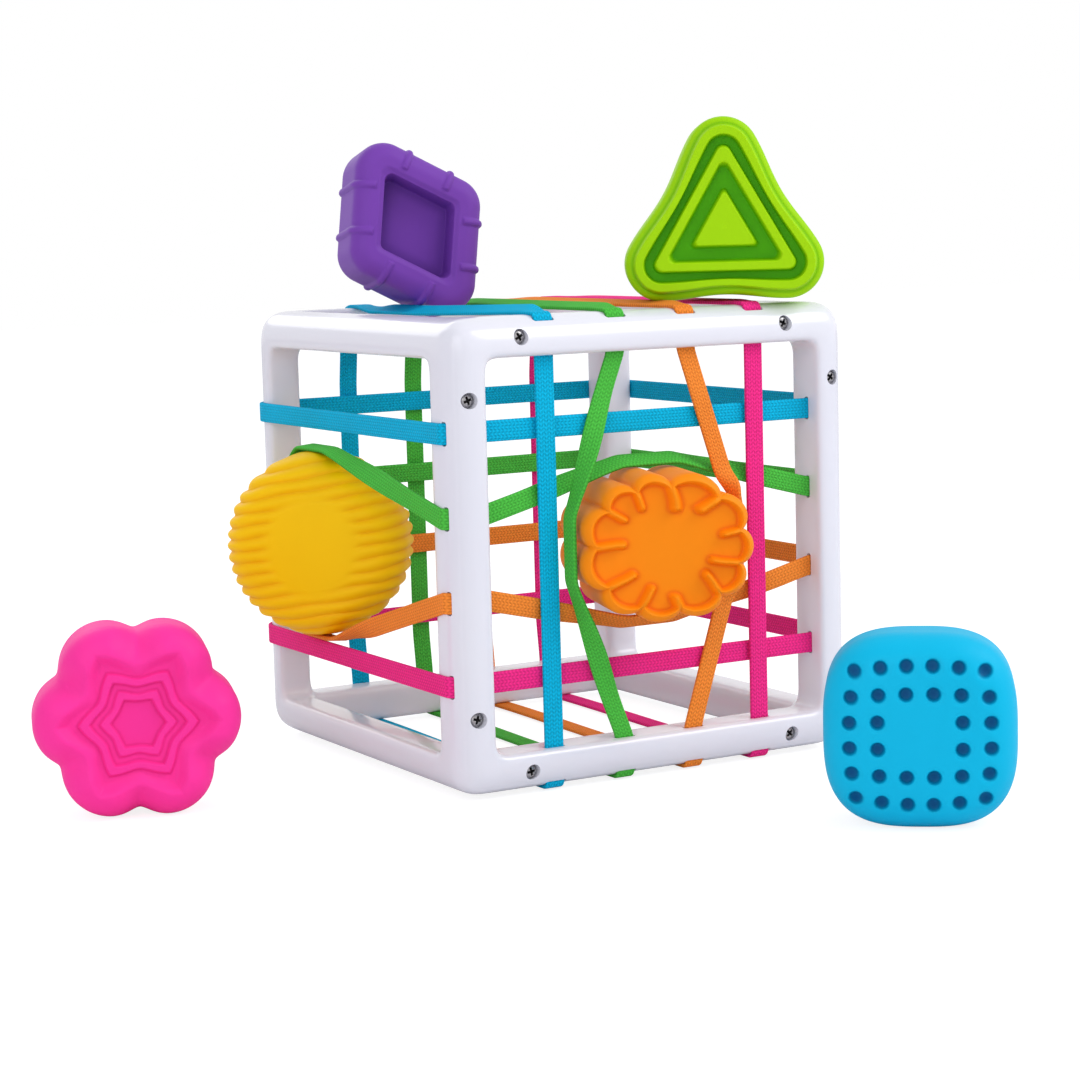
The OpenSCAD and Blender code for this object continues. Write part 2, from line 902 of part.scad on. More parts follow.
module shape_triangle() {
  color(lime)
    upright_shape([triangle_x, triangle_y, band_top + triangle_low + grip_gap / 2], triangle_yaw)
      loft(
        ring_base(triangle_pts, 10, []),
        concat(triangle_rows(1), rows_back(triangle_rows(-1))),
        triangle_r,
        triangle_ring / 2
      );
}

front_bezel();
core_ring();
rail_top_left();
rail_top_right();
rail_bottom_left();
rail_bottom_right();
rear_ring();
screw_top_left();
screw_top_right();
screw_bottom_left();
screw_bottom_right();
screw_left_low();
screw_left_high();
screw_right_low();
screw_right_high();
band_blue_flat();
band_green_flat();
band_orange_flat();
band_pink_flat();
band_blue_upright();
band_green_upright();
band_orange_upright();
band_pink_upright();
shape_disc();
shape_oval();
shape_flower();
shape_square();
shape_rhombus();
shape_triangle();
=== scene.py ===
"""Visual model of an open cube shape sorter: a white frame laced with elastic bands, and six soft shapes.

Sizes are written in millimetres, in the row frame: +X right, +Y back, +Z up, with the origin in the
middle of the cube's footprint. They become metres when a mesh is made.
"""

import logging
import math
from dataclasses import dataclass, field
from enum import Enum
from typing import Optional, Sequence, Union

import bmesh
import bpy
import numpy as np
from mathutils import Matrix, Vector


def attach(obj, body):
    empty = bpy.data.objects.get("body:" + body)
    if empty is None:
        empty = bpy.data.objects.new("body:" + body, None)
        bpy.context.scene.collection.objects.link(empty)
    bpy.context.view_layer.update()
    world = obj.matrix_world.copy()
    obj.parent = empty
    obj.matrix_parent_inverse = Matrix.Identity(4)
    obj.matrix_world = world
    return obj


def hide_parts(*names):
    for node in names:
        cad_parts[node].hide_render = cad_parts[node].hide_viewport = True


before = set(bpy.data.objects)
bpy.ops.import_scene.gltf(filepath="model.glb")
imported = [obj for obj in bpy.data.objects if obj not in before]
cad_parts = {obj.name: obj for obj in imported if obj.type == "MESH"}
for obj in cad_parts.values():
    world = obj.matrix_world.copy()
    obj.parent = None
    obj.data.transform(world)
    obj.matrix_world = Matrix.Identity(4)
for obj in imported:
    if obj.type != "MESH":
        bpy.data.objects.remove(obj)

log = logging.getLogger("shape_sorter")
MM = 0.001
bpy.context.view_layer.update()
CUTTER_SIDES = 32
WALL_ROWS = 8
Array = np.ndarray


class Lacing(Enum):
    """How a band is laced round the cube: level, or over the top and under the bottom."""

    FLAT = "flat"
    UPRIGHT = "upright"


# ---------- shader helpers ----------


class Value:
    """A number on a socket, with the arithmetic that shader patterns need."""

    def __init__(self, nodes: "Nodes", socket: bpy.types.NodeSocket) -> None:
        """Wrap one output socket."""
        self.nodes = nodes
        self.socket = socket

    def _math(self, operation: str, *values: object) -> "Value":
        """Add one Math node and wrap its result."""
        return self.nodes.value("ShaderNodeMath", {"operation": operation}, dict(enumerate(values)))

    def __add__(self, other: object) -> "Value":
        """Sum."""
        return self._math("ADD", self, other)

    __radd__ = __add__

    def __mul__(self, other: object) -> "Value":
        """Product."""
        return self._math("MULTIPLY", self, other)

    __rmul__ = __mul__

    def __sub__(self, other: object) -> "Value":
        """Difference."""
        return self._math("SUBTRACT", self, other)

    def __rsub__(self, other: object) -> "Value":
        """Difference with the value on the right."""
        return self._math("SUBTRACT", other, self)

    def __pow__(self, other: object) -> "Value":
        """Power."""
        return self._math("POWER", self, other)

    def sine(self) -> "Value":
        """Sine of the value in radians."""
        return self._math("SINE", self)

    def size(self) -> "Value":
        """Absolute value."""
        return self._math("ABSOLUTE", self)

    def most(self, other: object) -> "Value":
        """The larger of two values."""
        return self._math("MAXIMUM", self, other)


class Nodes:
    """The node tree of a material or a world, with one method for every node."""

    def __init__(self, owner: Union[bpy.types.Material, bpy.types.World]) -> None:
        """Empty the tree of a new material or world."""
        self.owner = owner
        owner.use_nodes = True
        self.tree = owner.node_tree
        self.tree.nodes.clear()

    def node(
        self, kind: str, settings: Optional[dict] = None, inputs: Optional[dict] = None
    ) -> bpy.types.Node:
        """Add a node, set its own settings, then its sockets.

        Args:
            kind: the node type.
            settings: attributes such as operation, or stops for a colour ramp.
            inputs: socket name or number to a value, a Value or a socket.

        Returns:
            The node.
        """
        made = self.tree.nodes.new(kind)
        for key, setting in (settings or {}).items():
            if key == "stops":
                for i, (at, tint) in enumerate(setting):
                    stop = made.color_ramp.elements[i] if i < 2 else made.color_ramp.elements.new(at)
                    stop.position, stop.color = at, tint
            else:
                setattr(made, key, setting)
        for key, given in (inputs or {}).items():
            given = given.socket if isinstance(given, Value) else given
            if isinstance(given, bpy.types.NodeSocket):
                self.tree.links.new(given, made.inputs[key])
            else:
                made.inputs[key].default_value = given
        return made

    def value(
        self, kind: str, settings: Optional[dict] = None, inputs: Optional[dict] = None, output: object = 0
    ) -> Value:
        """Add a node and wrap one of its outputs."""
        return Value(self, self.node(kind, settings, inputs).outputs[output])

    def noise(self, scale: float, detail: float) -> Value:
        """Noise on the object's own coordinates, at a scale per metre."""
        place = self.node("ShaderNodeTexCoord").outputs["Object"]
        return self.value("ShaderNodeTexNoise", inputs={"Vector": place, "Scale": scale, "Detail": detail})

    def depth(self) -> Value:
        """The depth attribute, which sets the painted shade: 0 on the surface and 1 in the deepest recess."""
        return self.value("ShaderNodeAttribute", {"attribute_name": "depth"}, output="Fac")

    def bump(self, height: Value, strength: float, distance: float) -> bpy.types.NodeSocket:
        """Normal of a surface raised by a height, with the distance in metres."""
        inputs = {"Strength": strength, "Distance": distance, "Height": height}
        return self.node("ShaderNodeBump", inputs=inputs).outputs[0]

    def mix(self, factor: object, low: object, high: object) -> bpy.types.NodeSocket:
        """Blend two colours.

        Args:
            factor: 0 gives low and 1 gives high.
            low: colour or socket.
            high: colour or socket.

        Returns:
            The colour socket.
        """
        made = self.node("ShaderNodeMix", {"data_type": "RGBA"}, {0: factor, 6: low, 7: high})
        return made.outputs[2]

    def finish(
        self, kind: str, inputs: dict, output: str = "Material"
    ) -> Union[bpy.types.Material, bpy.types.World]:
        """Add the last shader and link it to the output.

        Args:
            kind: the shader's node type.
            inputs: its sockets.
            output: Material or World.

        Returns:
            The material or world.
        """
        shader = self.node(kind, inputs=inputs)
        self.node("ShaderNodeOutput" + output, inputs={"Surface": shader.outputs[0]})
        return self.owner


def material_nodes(name: str) -> Nodes:
    """The empty node tree of a new material."""
    return Nodes(bpy.data.materials.new(name))


def linear(red: float, green: float, blue: float) -> tuple[float, float, float, float]:
    """Turn an sRGB colour of 0 to 255 into linear light."""
    parts = [c / 255 for c in (red, green, blue)]
    return tuple(c / 12.92 if c < 0.04045 else ((c + 0.055) / 1.055) ** 2.4 for c in parts) + (1.0,)


def shade(colour: Sequence[float], by: float) -> tuple[float, float, float, float]:
    """Scale a linear colour."""
    return tuple(min(1.0, c * by) for c in colour[:3]) + (1.0,)


# ---------- finishes ----------


@dataclass(frozen=True)
class MouldedPlastic:
    """Glossy white moulding with a faint cool cast and a slightly uneven skin."""

    name: str = "glossy_white_moulding"
    colour: tuple = linear(229, 229, 236)
    shadow: tuple = linear(221, 220, 231)
    roughness: float = 0.24
    coat: float = 0.35

    def material(self) -> bpy.types.Material:
        """Broad noise tints the colour, and fine noise sets the roughness and a shallow bump."""
        n = material_nodes(self.name)
        broad, fine = n.noise(14.0, 2.0), n.noise(420.0, 3.0)
        return n.finish("ShaderNodeBsdfPrincipled", {
            "Base Color": n.mix(broad, self.shadow, self.colour),
            "Roughness": fine * 0.10 + (self.roughness - 0.05),
            "Normal": n.bump(broad * 0.7 + fine * 0.3, 0.06, 0.0004),
            "Coat Weight": self.coat,
            "Coat Roughness": 0.08,
        })


@dataclass(frozen=True)
class PlatedSteel:
    """Dark zinc-plated steel of the screws, with fine turning marks."""

    name: str = "plated_steel"
    colour: tuple = linear(168, 166, 168)
    # painted shade: the dark colour the cross recess takes, where shade falls
    recess: tuple = linear(38, 36, 38)

    def material(self) -> bpy.types.Material:
        """Noise varies the tint and the roughness, and the depth attribute paints shade into the cross
        recess.
        """
        n = material_nodes(self.name)
        grain = n.noise(900.0, 2.0)
        tint = n.mix(grain, shade(self.colour, 0.8), self.colour)
        return n.finish("ShaderNodeBsdfPrincipled", {
            # painted shade in the cross recess, led by the depth attribute
            "Base Color": n.mix(n.depth(), tint, self.recess),
            "Metallic": 1.0,
            "Roughness": grain * 0.18 + 0.26,
        })


@dataclass(frozen=True)
class WovenElastic:
    """Woven elastic: lengthwise cords crossed by fine stitches, with painted shade in the furrows and firm
    edges.
    """

    name: str
    colour: tuple
    cords: float = 7.0
    stitch: float = 1.35
    skew: float = 1.8

    def material(self) -> bpy.types.Material:
        """Cords and stitches as a height, which also paints shade into the furrows and light onto the raised
        cords.

        The height is the size of a sine across, which makes the cords, plus a sine along, which makes the
        stitches, pushed to and fro from cord to cord, plus fuzz. UV x is the length in millimetres, and
        UV y runs from 0 to 1 across the band.
        """
        n = material_nodes(self.name)
        place = n.node("ShaderNodeUVMap", {"uv_map": "UVMap"}).outputs[0]
        uv = n.node("ShaderNodeSeparateXYZ", inputs={0: place})
        along, across = Value(n, uv.outputs[0]), Value(n, uv.outputs[1])
        wave = (across * (self.cords * math.pi)).sine()
        stitch = (along * (2 * math.pi / self.stitch) + wave * self.skew).sine() * 0.5 + 0.5
        fuzz, broad = n.noise(1500.0, 2.0), n.noise(60.0, 2.0)
        height = wave.size() ** 0.6 * 0.45 + stitch * 0.5 + fuzz * 0.3
        # painted shade and light: dark in the furrows, light on the raised cords, with random mottle from
        # broad noise
        tone = n.value("ShaderNodeClamp", inputs={0: height * 0.8 + broad * 0.3})
        return n.finish("ShaderNodeBsdfPrincipled", {
            "Base Color": n.mix(tone, shade(self.colour, 0.55), shade(self.colour, 1.30)),
            "Roughness": fuzz * 0.12 + 0.68,
            "Normal": n.bump(height, 0.75, 0.00035),
            "Specular IOR Level": 0.12,
        })


@dataclass(frozen=True)
class SatinSilicone:
    """Satin moulded silicone, with painted shade inside its grooves and dimples."""

    name: str
    colour: tuple
    # deep: the colour of the painted shade in grooves, dimples and creases
    deep: tuple
    roughness: float = 0.5

    def material(self) -> bpy.types.Material:
        """The depth attribute leads from the surface colour to the deep one, a painted shade; noise varies
        both a little.
        """
        n = material_nodes(self.name)
        broad, fine = n.noise(35.0, 3.0), n.noise(1300.0, 2.0)
        skin = n.mix(broad, shade(self.colour, 0.95), shade(self.colour, 1.03))
        return n.finish("ShaderNodeBsdfPrincipled", {
            # painted shade from the depth attribute
            "Base Color": n.mix(n.depth(), skin, self.deep),
            "Roughness": fine * 0.10 + (self.roughness - 0.05),
            "Normal": n.bump(fine * 0.6 + broad * 0.4, 0.12, 0.0003),
            "Specular IOR Level": 0.13,
        })


# ---------- mesh helpers ----------


def link(name: str, data: bpy.types.ID) -> bpy.types.Object:
    """Make an object of a mesh, lamp or camera and put it in the scene."""
    made = bpy.data.objects.new(name, data)
    bpy.context.scene.collection.objects.link(made)
    return made


def put_mesh(
    name: str, points: Array, faces: list, material: bpy.types.Material, depth: Optional[Array] = None,
    uv: Optional[Array] = None,
) -> bpy.types.Object:
    """Make a smooth-shaded object from points and faces.

    Args:
        name: object name.
        points: n by 3, in millimetres.
        faces: lists of point numbers.
        material: its finish.
        depth: n values for the depth attribute.
        uv: one pair for each face corner.

    Returns:
        The new object, linked to the scene.
    """
    mesh = bpy.data.meshes.new(name)
    mesh.from_pydata((points * MM).tolist(), [], faces)
    mesh.materials.append(material)
    if depth is not None:
        layer = mesh.attributes.new("depth", "FLOAT", "POINT")
        layer.data.foreach_set("value", depth.astype(np.float32))
    if uv is not None:
        layer = mesh.uv_layers.new(name="UVMap")
        layer.data.foreach_set("uv", uv.astype(np.float32).ravel())
    mesh.polygons.foreach_set("use_smooth", np.ones(len(mesh.polygons), dtype=bool))
    mesh.update()
    return link(name, mesh)


def closed_grid(rows: int, columns: int) -> Array:
    """Faces of a grid of rows that close on themselves, with the outside to the right of the row's run.

    Args:
        rows: number of rows.
        columns: points in each row.

    Returns:
        Quads over row-major points.
    """
    j, i = np.meshgrid(np.arange(rows - 1), np.arange(columns), indexing="ij")
    a = j * columns + i
    b = j * columns + (i + 1) % columns
    return np.stack([b, a, a + columns, b + columns], axis=-1).reshape(-1, 4)


def shell(
    name: str, rings: Array, material: bpy.types.Material, depth: Optional[Array] = None
) -> bpy.types.Object:
    """Closed surface through rings of points, with a fan of triangles to a centre point at each end.

    Args:
        name: object name.
        rings: rows by columns by 3, in millimetres.
        material: its finish.
        depth: rows by columns values for the depth attribute.

    Returns:
        The object.
    """
    rows, columns = rings.shape[:2]
    near = np.arange(columns)
    after = (near + 1) % columns
    centre, end = rows * columns, (rows - 1) * columns
    top = np.stack([np.full(columns, centre), near, after], axis=-1)
    bottom = np.stack([np.full(columns, centre + 1), end + after, end + near], axis=-1)
    faces = closed_grid(rows, columns).tolist() + top.tolist() + bottom.tolist()
    ends = rings[[0, -1]].mean(1)
    if depth is not None:
        depth = np.concatenate([depth.ravel(), depth[[0, -1]].mean(1)])
    return put_mesh(name, np.concatenate([rings.reshape(-1, 3), ends]), faces, material, depth)


def smooth_step(x: Array, low: float, high: float) -> Array:
    """0 below low, 1 above high, and 3t^2 - 2t^3 between, where t is the share of the way."""
    t = np.clip((x - low) / (high - low), 0, 1)
    return t * t * (3 - 2 * t)


# ---------- the frame ----------


@dataclass
class CageFrame:
    """The white cube: soft square bars, the front ring deeper than the rest, with slots and screw holes."""

    width: float = 150.0
    bar: float = 12.5
    front_depth: float = 16.0
    bezel_depth: float = 5.5
    round_edge: float = 8.5
    lift: float = 1.8
    pitch: float = 26.5
    slot_length: float = 7.6
    slot_depth: float = 2.15
    screw_reach: float = 50.0
    screw_inset: float = 6.2
    hole_radius: float = 2.55
    hole_depth: float = 3.2
    midway: float = 22.0
    swell: float = 0.35
    finish: MouldedPlastic = field(default_factory=MouldedPlastic)

    @property
    def middle(self) -> Array:
        """Centre of the cube."""
        return np.array([0.0, 0.0, self.lift + self.width / 2])

    def lines(self, front: float) -> Array:
        """Places of the control lines along one axis.

        Args:
            front: depth of the bar on the low side.

        Returns:
            Rising places, from one outer face to the other.
        """
        half = self.width / 2
        near, far = np.array([2.6, 7.0]), np.array([7.0, 9.5])
        low = [0.0, *near, *([front - 5.6] if front > self.bar else []), front, *(front + far)]
        high = [0.0, *near, self.bar, *(self.bar + far)]
        places = [-half + v for v in low] + [-self.midway, self.midway] + [half - v for v in high[::-1]]
        return np.array(places)

    def cage(self) -> tuple[Array, Array]:
        """Control cage of the cube.

        A cell of the grid is solid where it lies in a bar's range on at least two axes. Each face
        between a solid cell and an empty one becomes a quad. The points past the rounding distance are
        drawn in onto a rounded cube, and the outer faces swell to make up what smoothing takes off them.

        Returns:
            Points and quads.
        """
        half = self.width / 2
        axes = [self.lines(self.bar), self.lines(self.front_depth), self.lines(self.bar)]
        inner = [-half + self.bar, -half + self.front_depth, -half + self.bar]
        mid = [(a[1:] + a[:-1]) / 2 for a in axes]
        in_bar = [(m < lo) | (m > half - self.bar) for m, lo in zip(mid, inner)]
        bx, by, bz = np.meshgrid(*in_bar, indexing="ij")
        solid = np.pad((bx.astype(int) + by + bz) >= 2, 1)
        shape = [len(a) for a in axes]
        number = np.arange(np.prod(shape)).reshape(shape)
        quads = []
        for axis in range(3):
            step = np.moveaxis(np.diff(solid.astype(int), axis=axis), axis, 0)[:, 1:-1, 1:-1]
            grid = np.moveaxis(number, axis, 0)
            turn = axis == 1
            for sign in (1, -1):
                k, u, v = np.nonzero(step == sign)
                ring = [grid[k, u, v], grid[k, u + 1, v], grid[k, u + 1, v + 1], grid[k, u, v + 1]]
                ring = np.stack(ring, axis=-1)
                quads.append(ring[:, ::-1] if (sign == 1) != turn else ring)
        used, quads = np.unique(np.concatenate(quads), return_inverse=True)
        x, y, z = np.meshgrid(*axes, indexing="ij")
        points = np.stack([x, y, z], axis=-1).reshape(-1, 3)[used]
        core = np.clip(points, -half + self.round_edge, half - self.round_edge)
        off = points - core
        flat = np.abs(off).max(1)
        length = np.linalg.norm(off, axis=1)
        points = core + off * np.where(length > 0, flat / np.maximum(length, 1e-9), 1)[:, None]
        grow = 1 + self.swell * smooth_step(np.abs(points).max(1), half - 3, half) / half
        return points * grow[:, None] + self.middle, quads.reshape(-1, 4)

    def cutter(self, low: Sequence[float], high: Sequence[float], axis: int, radius: float) -> Array:
        """Rounded prism: a rectangle with round corners, carried along one axis.

        Args:
            low: lowest corner, from the cube's centre.
            high: highest corner.
            axis: the axis it runs along.
            radius: corner radius of its section.

        Returns:
            Rings of the prism, 2 by CUTTER_SIDES by 3.
        """
        u, v = [a for a in range(3) if a != axis]
        angle = (np.arange(CUTTER_SIDES) + 0.5) * 2 * math.pi / CUTTER_SIDES
        rings = np.zeros((2, CUTTER_SIDES, 3))
        for at, turn in ((u, np.cos(angle)), (v, np.sin(angle))):
            flat = (high[at] - low[at]) / 2 - radius
            rings[..., at] = (low[at] + high[at]) / 2 + np.sign(turn) * flat + radius * turn
        rings[..., axis] = np.array([low[axis], high[axis]])[:, None]
        return rings + self.middle

    def cutters(self) -> list[Array]:
        """All slots and screw holes."""
        half = self.width / 2
        seam = -half + self.bezel_depth
        reach, edge, r = self.screw_reach, half - self.screw_inset, self.hole_radius
        past, corner = 0.06, 0.9
        made = []
        for i in (-1.5, -0.5, 0.5, 1.5):
            a, b = i * self.pitch - self.slot_length / 2, i * self.pitch + self.slot_length / 2
            for side in (-1, 1):
                near, far = sorted((side * (half - self.bar - 8), side * (half + 3)))
                flat = (near, seam - past, a), (far, seam + self.slot_depth, b)
                upright = (a, seam - self.slot_depth, near), (b, seam + past, far)
                made += [self.cutter(*flat, 0, corner), self.cutter(*upright, 2, corner)]
        places = [(u, v) for u in (-reach, reach) for v in (-edge, edge)]
        for u, v in places + [(p, q) for p in (-edge, edge) for q in (-reach, reach)]:
            low, high = (u - r, -half - 3, v - r), (u + r, -half + self.hole_depth, v + r)
            made.append(self.cutter(low, high, 1, r - 0.01))
        return made

    def tool(self) -> bpy.types.Object:
        """All cutters as one mesh of closed prisms."""
        rings = self.cutters()
        faces: list = []
        for start in range(0, len(rings) * 2 * CUTTER_SIDES, 2 * CUTTER_SIDES):
            near, far = start + CUTTER_SIDES, start + 2 * CUTTER_SIDES
            faces += (closed_grid(2, CUTTER_SIDES)[:, ::-1] + start).tolist()
            faces += [list(range(start, near))[::-1], list(range(near, far))]
        mesh = bpy.data.meshes.new("cutters")
        mesh.from_pydata((np.concatenate(rings).reshape(-1, 3) * MM).tolist(), [], faces)
        fix = bmesh.new()
        fix.from_mesh(mesh)
        bmesh.ops.recalc_face_normals(fix, faces=fix.faces)
        fix.to_mesh(mesh)
        fix.free()
        return link("cutters", mesh)

    def half_of(self, cube: bpy.types.Mesh, name: str, front: bool, nodes: Sequence[str]) -> bpy.types.Object:
        """Keep what lies on one side of the seam, and close the cut.

        Args:
            cube: the whole cube, cut and smoothed.
            name: the piece's name.
            front: keep the bezel, and not the body.
            nodes: the CAD nodes that the piece stands for.

        Returns:
            The piece.
        """
        seam = (-self.width / 2 + self.bezel_depth) * MM
        bm = bmesh.new()
        bm.from_mesh(cube)
        cut = bmesh.ops.bisect_plane(
            bm, geom=bm.verts[:] + bm.edges[:] + bm.faces[:], dist=1e-6, plane_co=(0, seam, 0),
            plane_no=(0, 1, 0), clear_outer=front, clear_inner=not front,
        )
        rim = [e for e in cut["geom_cut"] if isinstance(e, bmesh.types.BMEdge) and e.is_valid]
        filled = bmesh.ops.triangle_fill(bm, edges=rim, use_beauty=True)
        for sharp in [f for f in filled["geom"] if isinstance(f, bmesh.types.BMFace)] + rim:
            sharp.smooth = False
        bmesh.ops.recalc_face_normals(bm, faces=bm.faces)
        mesh = bpy.data.meshes.new(name)
        bm.to_mesh(mesh)
        bm.free()
        mesh.materials.clear()
        mesh.materials.append(cube.materials[0])
        mesh.set_sharp_from_angle(angle=math.radians(40))
        piece = link(name, mesh)
        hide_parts(*nodes)
        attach(piece, "frame")
        return piece

    def build(self) -> list[bpy.types.Object]:
        """Smooth the cage, cut the slots and holes, and part the bezel from the body at the seam."""
        points, quads = self.cage()
        whole = put_mesh("whole_cube", points, quads.tolist(), self.finish.material())
        smoother = whole.modifiers.new("soft", "SUBSURF")
        smoother.levels = smoother.render_levels = 3
        tool = self.tool()
        cut = whole.modifiers.new("cut", "BOOLEAN")
        cut.operation, cut.solver, cut.object = "DIFFERENCE", "EXACT", tool
        cube = bpy.data.meshes.new_from_object(whole.evaluated_get(bpy.context.evaluated_depsgraph_get()))
        bpy.data.objects.remove(whole)
        bpy.data.objects.remove(tool)
        rails = [f"rail_{height}_{side}" for height in ("top", "bottom") for side in ("left", "right")]
        return [
            self.half_of(cube, "bezel", True, ["front_bezel"]),
            self.half_of(cube, "cage_body", False, ["core_ring", "rear_ring", *rails]),
        ]


@dataclass
class CrossScrew:
    """Pan head screw with a cross recess, lying along Y with its head to the front."""

    name: str
    across: float
    up: float
    turn: float
    head_radius: float = 2.2
    head_height: float = 1.75
    crown: float = 0.42
    head_rows: int = 26
    seat: float = -71.8
    shank_radius: float = 1.2
    length: float = 10.9
    cross_half_width: float = 0.36
    cross_reach: float = 1.35
    columns: int = 96

    def profile(self) -> tuple[Array, Array]:
        """Radii and heights of the rows: head, its side, the shank and its end.

        The head's height is h(1 - c(r/R)^4), where c is the crown.
        """
        big, tall, shank = self.head_radius, self.head_height, self.shank_radius
        share = np.linspace(0.05, 1, self.head_rows)
        radii = [share * (big - 0.05), [big, big, shank + 0.1, shank, shank, shank, shank / 2]]
        heights = [tall * (1 - self.crown * share**4), [tall * 0.5, 0.05, 0.0, -0.3]]
        shank_heights = [-self.length / 2, -self.length + 0.6, -self.length]
        return np.concatenate(radii), np.concatenate([*heights, shank_heights])

    def build(self, material: bpy.types.Material, centre: float) -> bpy.types.Object:
        """Turn the profile round, with the cross pressed into the head.

        The recess is the union of two bars, sloped down towards the middle.

        Args:
            material: its finish.
            centre: height of the cube's middle.

        Returns:
            The screw.
        """
        radii, heights = self.profile()
        angle = np.linspace(0, 2 * math.pi, self.columns, endpoint=False)
        r, a = np.meshgrid(radii, angle, indexing="ij")
        x, z = r * np.cos(a), r * np.sin(a)
        on_head = np.arange(len(radii))[:, None] < self.head_rows
        off_x, off_z = np.abs(x) - self.cross_half_width, np.abs(z) - self.cross_half_width
        past_x, past_z = np.abs(x) - self.cross_reach, np.abs(z) - self.cross_reach
        bar = np.minimum(np.maximum(off_x, past_z), np.maximum(off_z, past_x))
        deep = smooth_step(-bar, -0.08, 0.10) * on_head
        h = heights[:, None] - deep * (1.25 - 0.35 * r / self.cross_reach)
        c, s = math.cos(self.turn), math.sin(self.turn)
        place = [x * c - z * s + self.across, self.seat - h, x * s + z * c + self.up + centre]
        # the recess mask is also the depth attribute, which paints shade into the cross recess
        screw = shell(self.name + "_visual", np.stack(place, axis=-1)[:, ::-1], material, deep[:, ::-1])
        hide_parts(self.name)
        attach(screw, "frame")
        return screw


# ---------- the bands ----------


@dataclass
class Bow:
    """Where a run of band passes over something: from start to end, moved by shift, twisted by twist degrees.

    The twist sets in once the share of the shift passes begin.
    """

    start: float = 0.0
    end: float = 0.0
    shift: float = 0.0
    twist: float = 0.0
    begin: float = 0.2

    def hold(self, place: Array, low: float, high: float) -> Array:
        """Share of the bow at each place: rising evenly from low to start, 1 up to end, falling to high.

        Args:
            place: places along the run.
            low: where the run begins.
            high: where it ends.

        Returns:
            Shares from 0 to 1.
        """
        rise = (place - low) / max(self.start - low, 1e-6)
        fall = (high - place) / max(high - self.end, 1e-6)
        return np.clip(np.minimum(rise, fall), 0, 1)

    def turned(self, share: Array) -> Array:
        """Twist in radians at each share of the shift."""
        return math.radians(self.twist) * smooth_step(share, self.begin, 0.97)


def stations(first: Array, second: Array, shift: Array, twist: Array, facing: Array) -> Array:
    """Rows of a band's stations, from arrays and plain numbers.

    Args:
        first: first coordinate in the loop's plane.
        second: second coordinate in that plane.
        shift: how far the band is moved across the plane.
        twist: its twist in radians.
        facing: the way its outer face looks, in radians.

    Returns:
        n by 5 values.
    """
    return np.stack(np.broadcast_arrays(first, second, shift, twist, facing), axis=-1).astype(float)


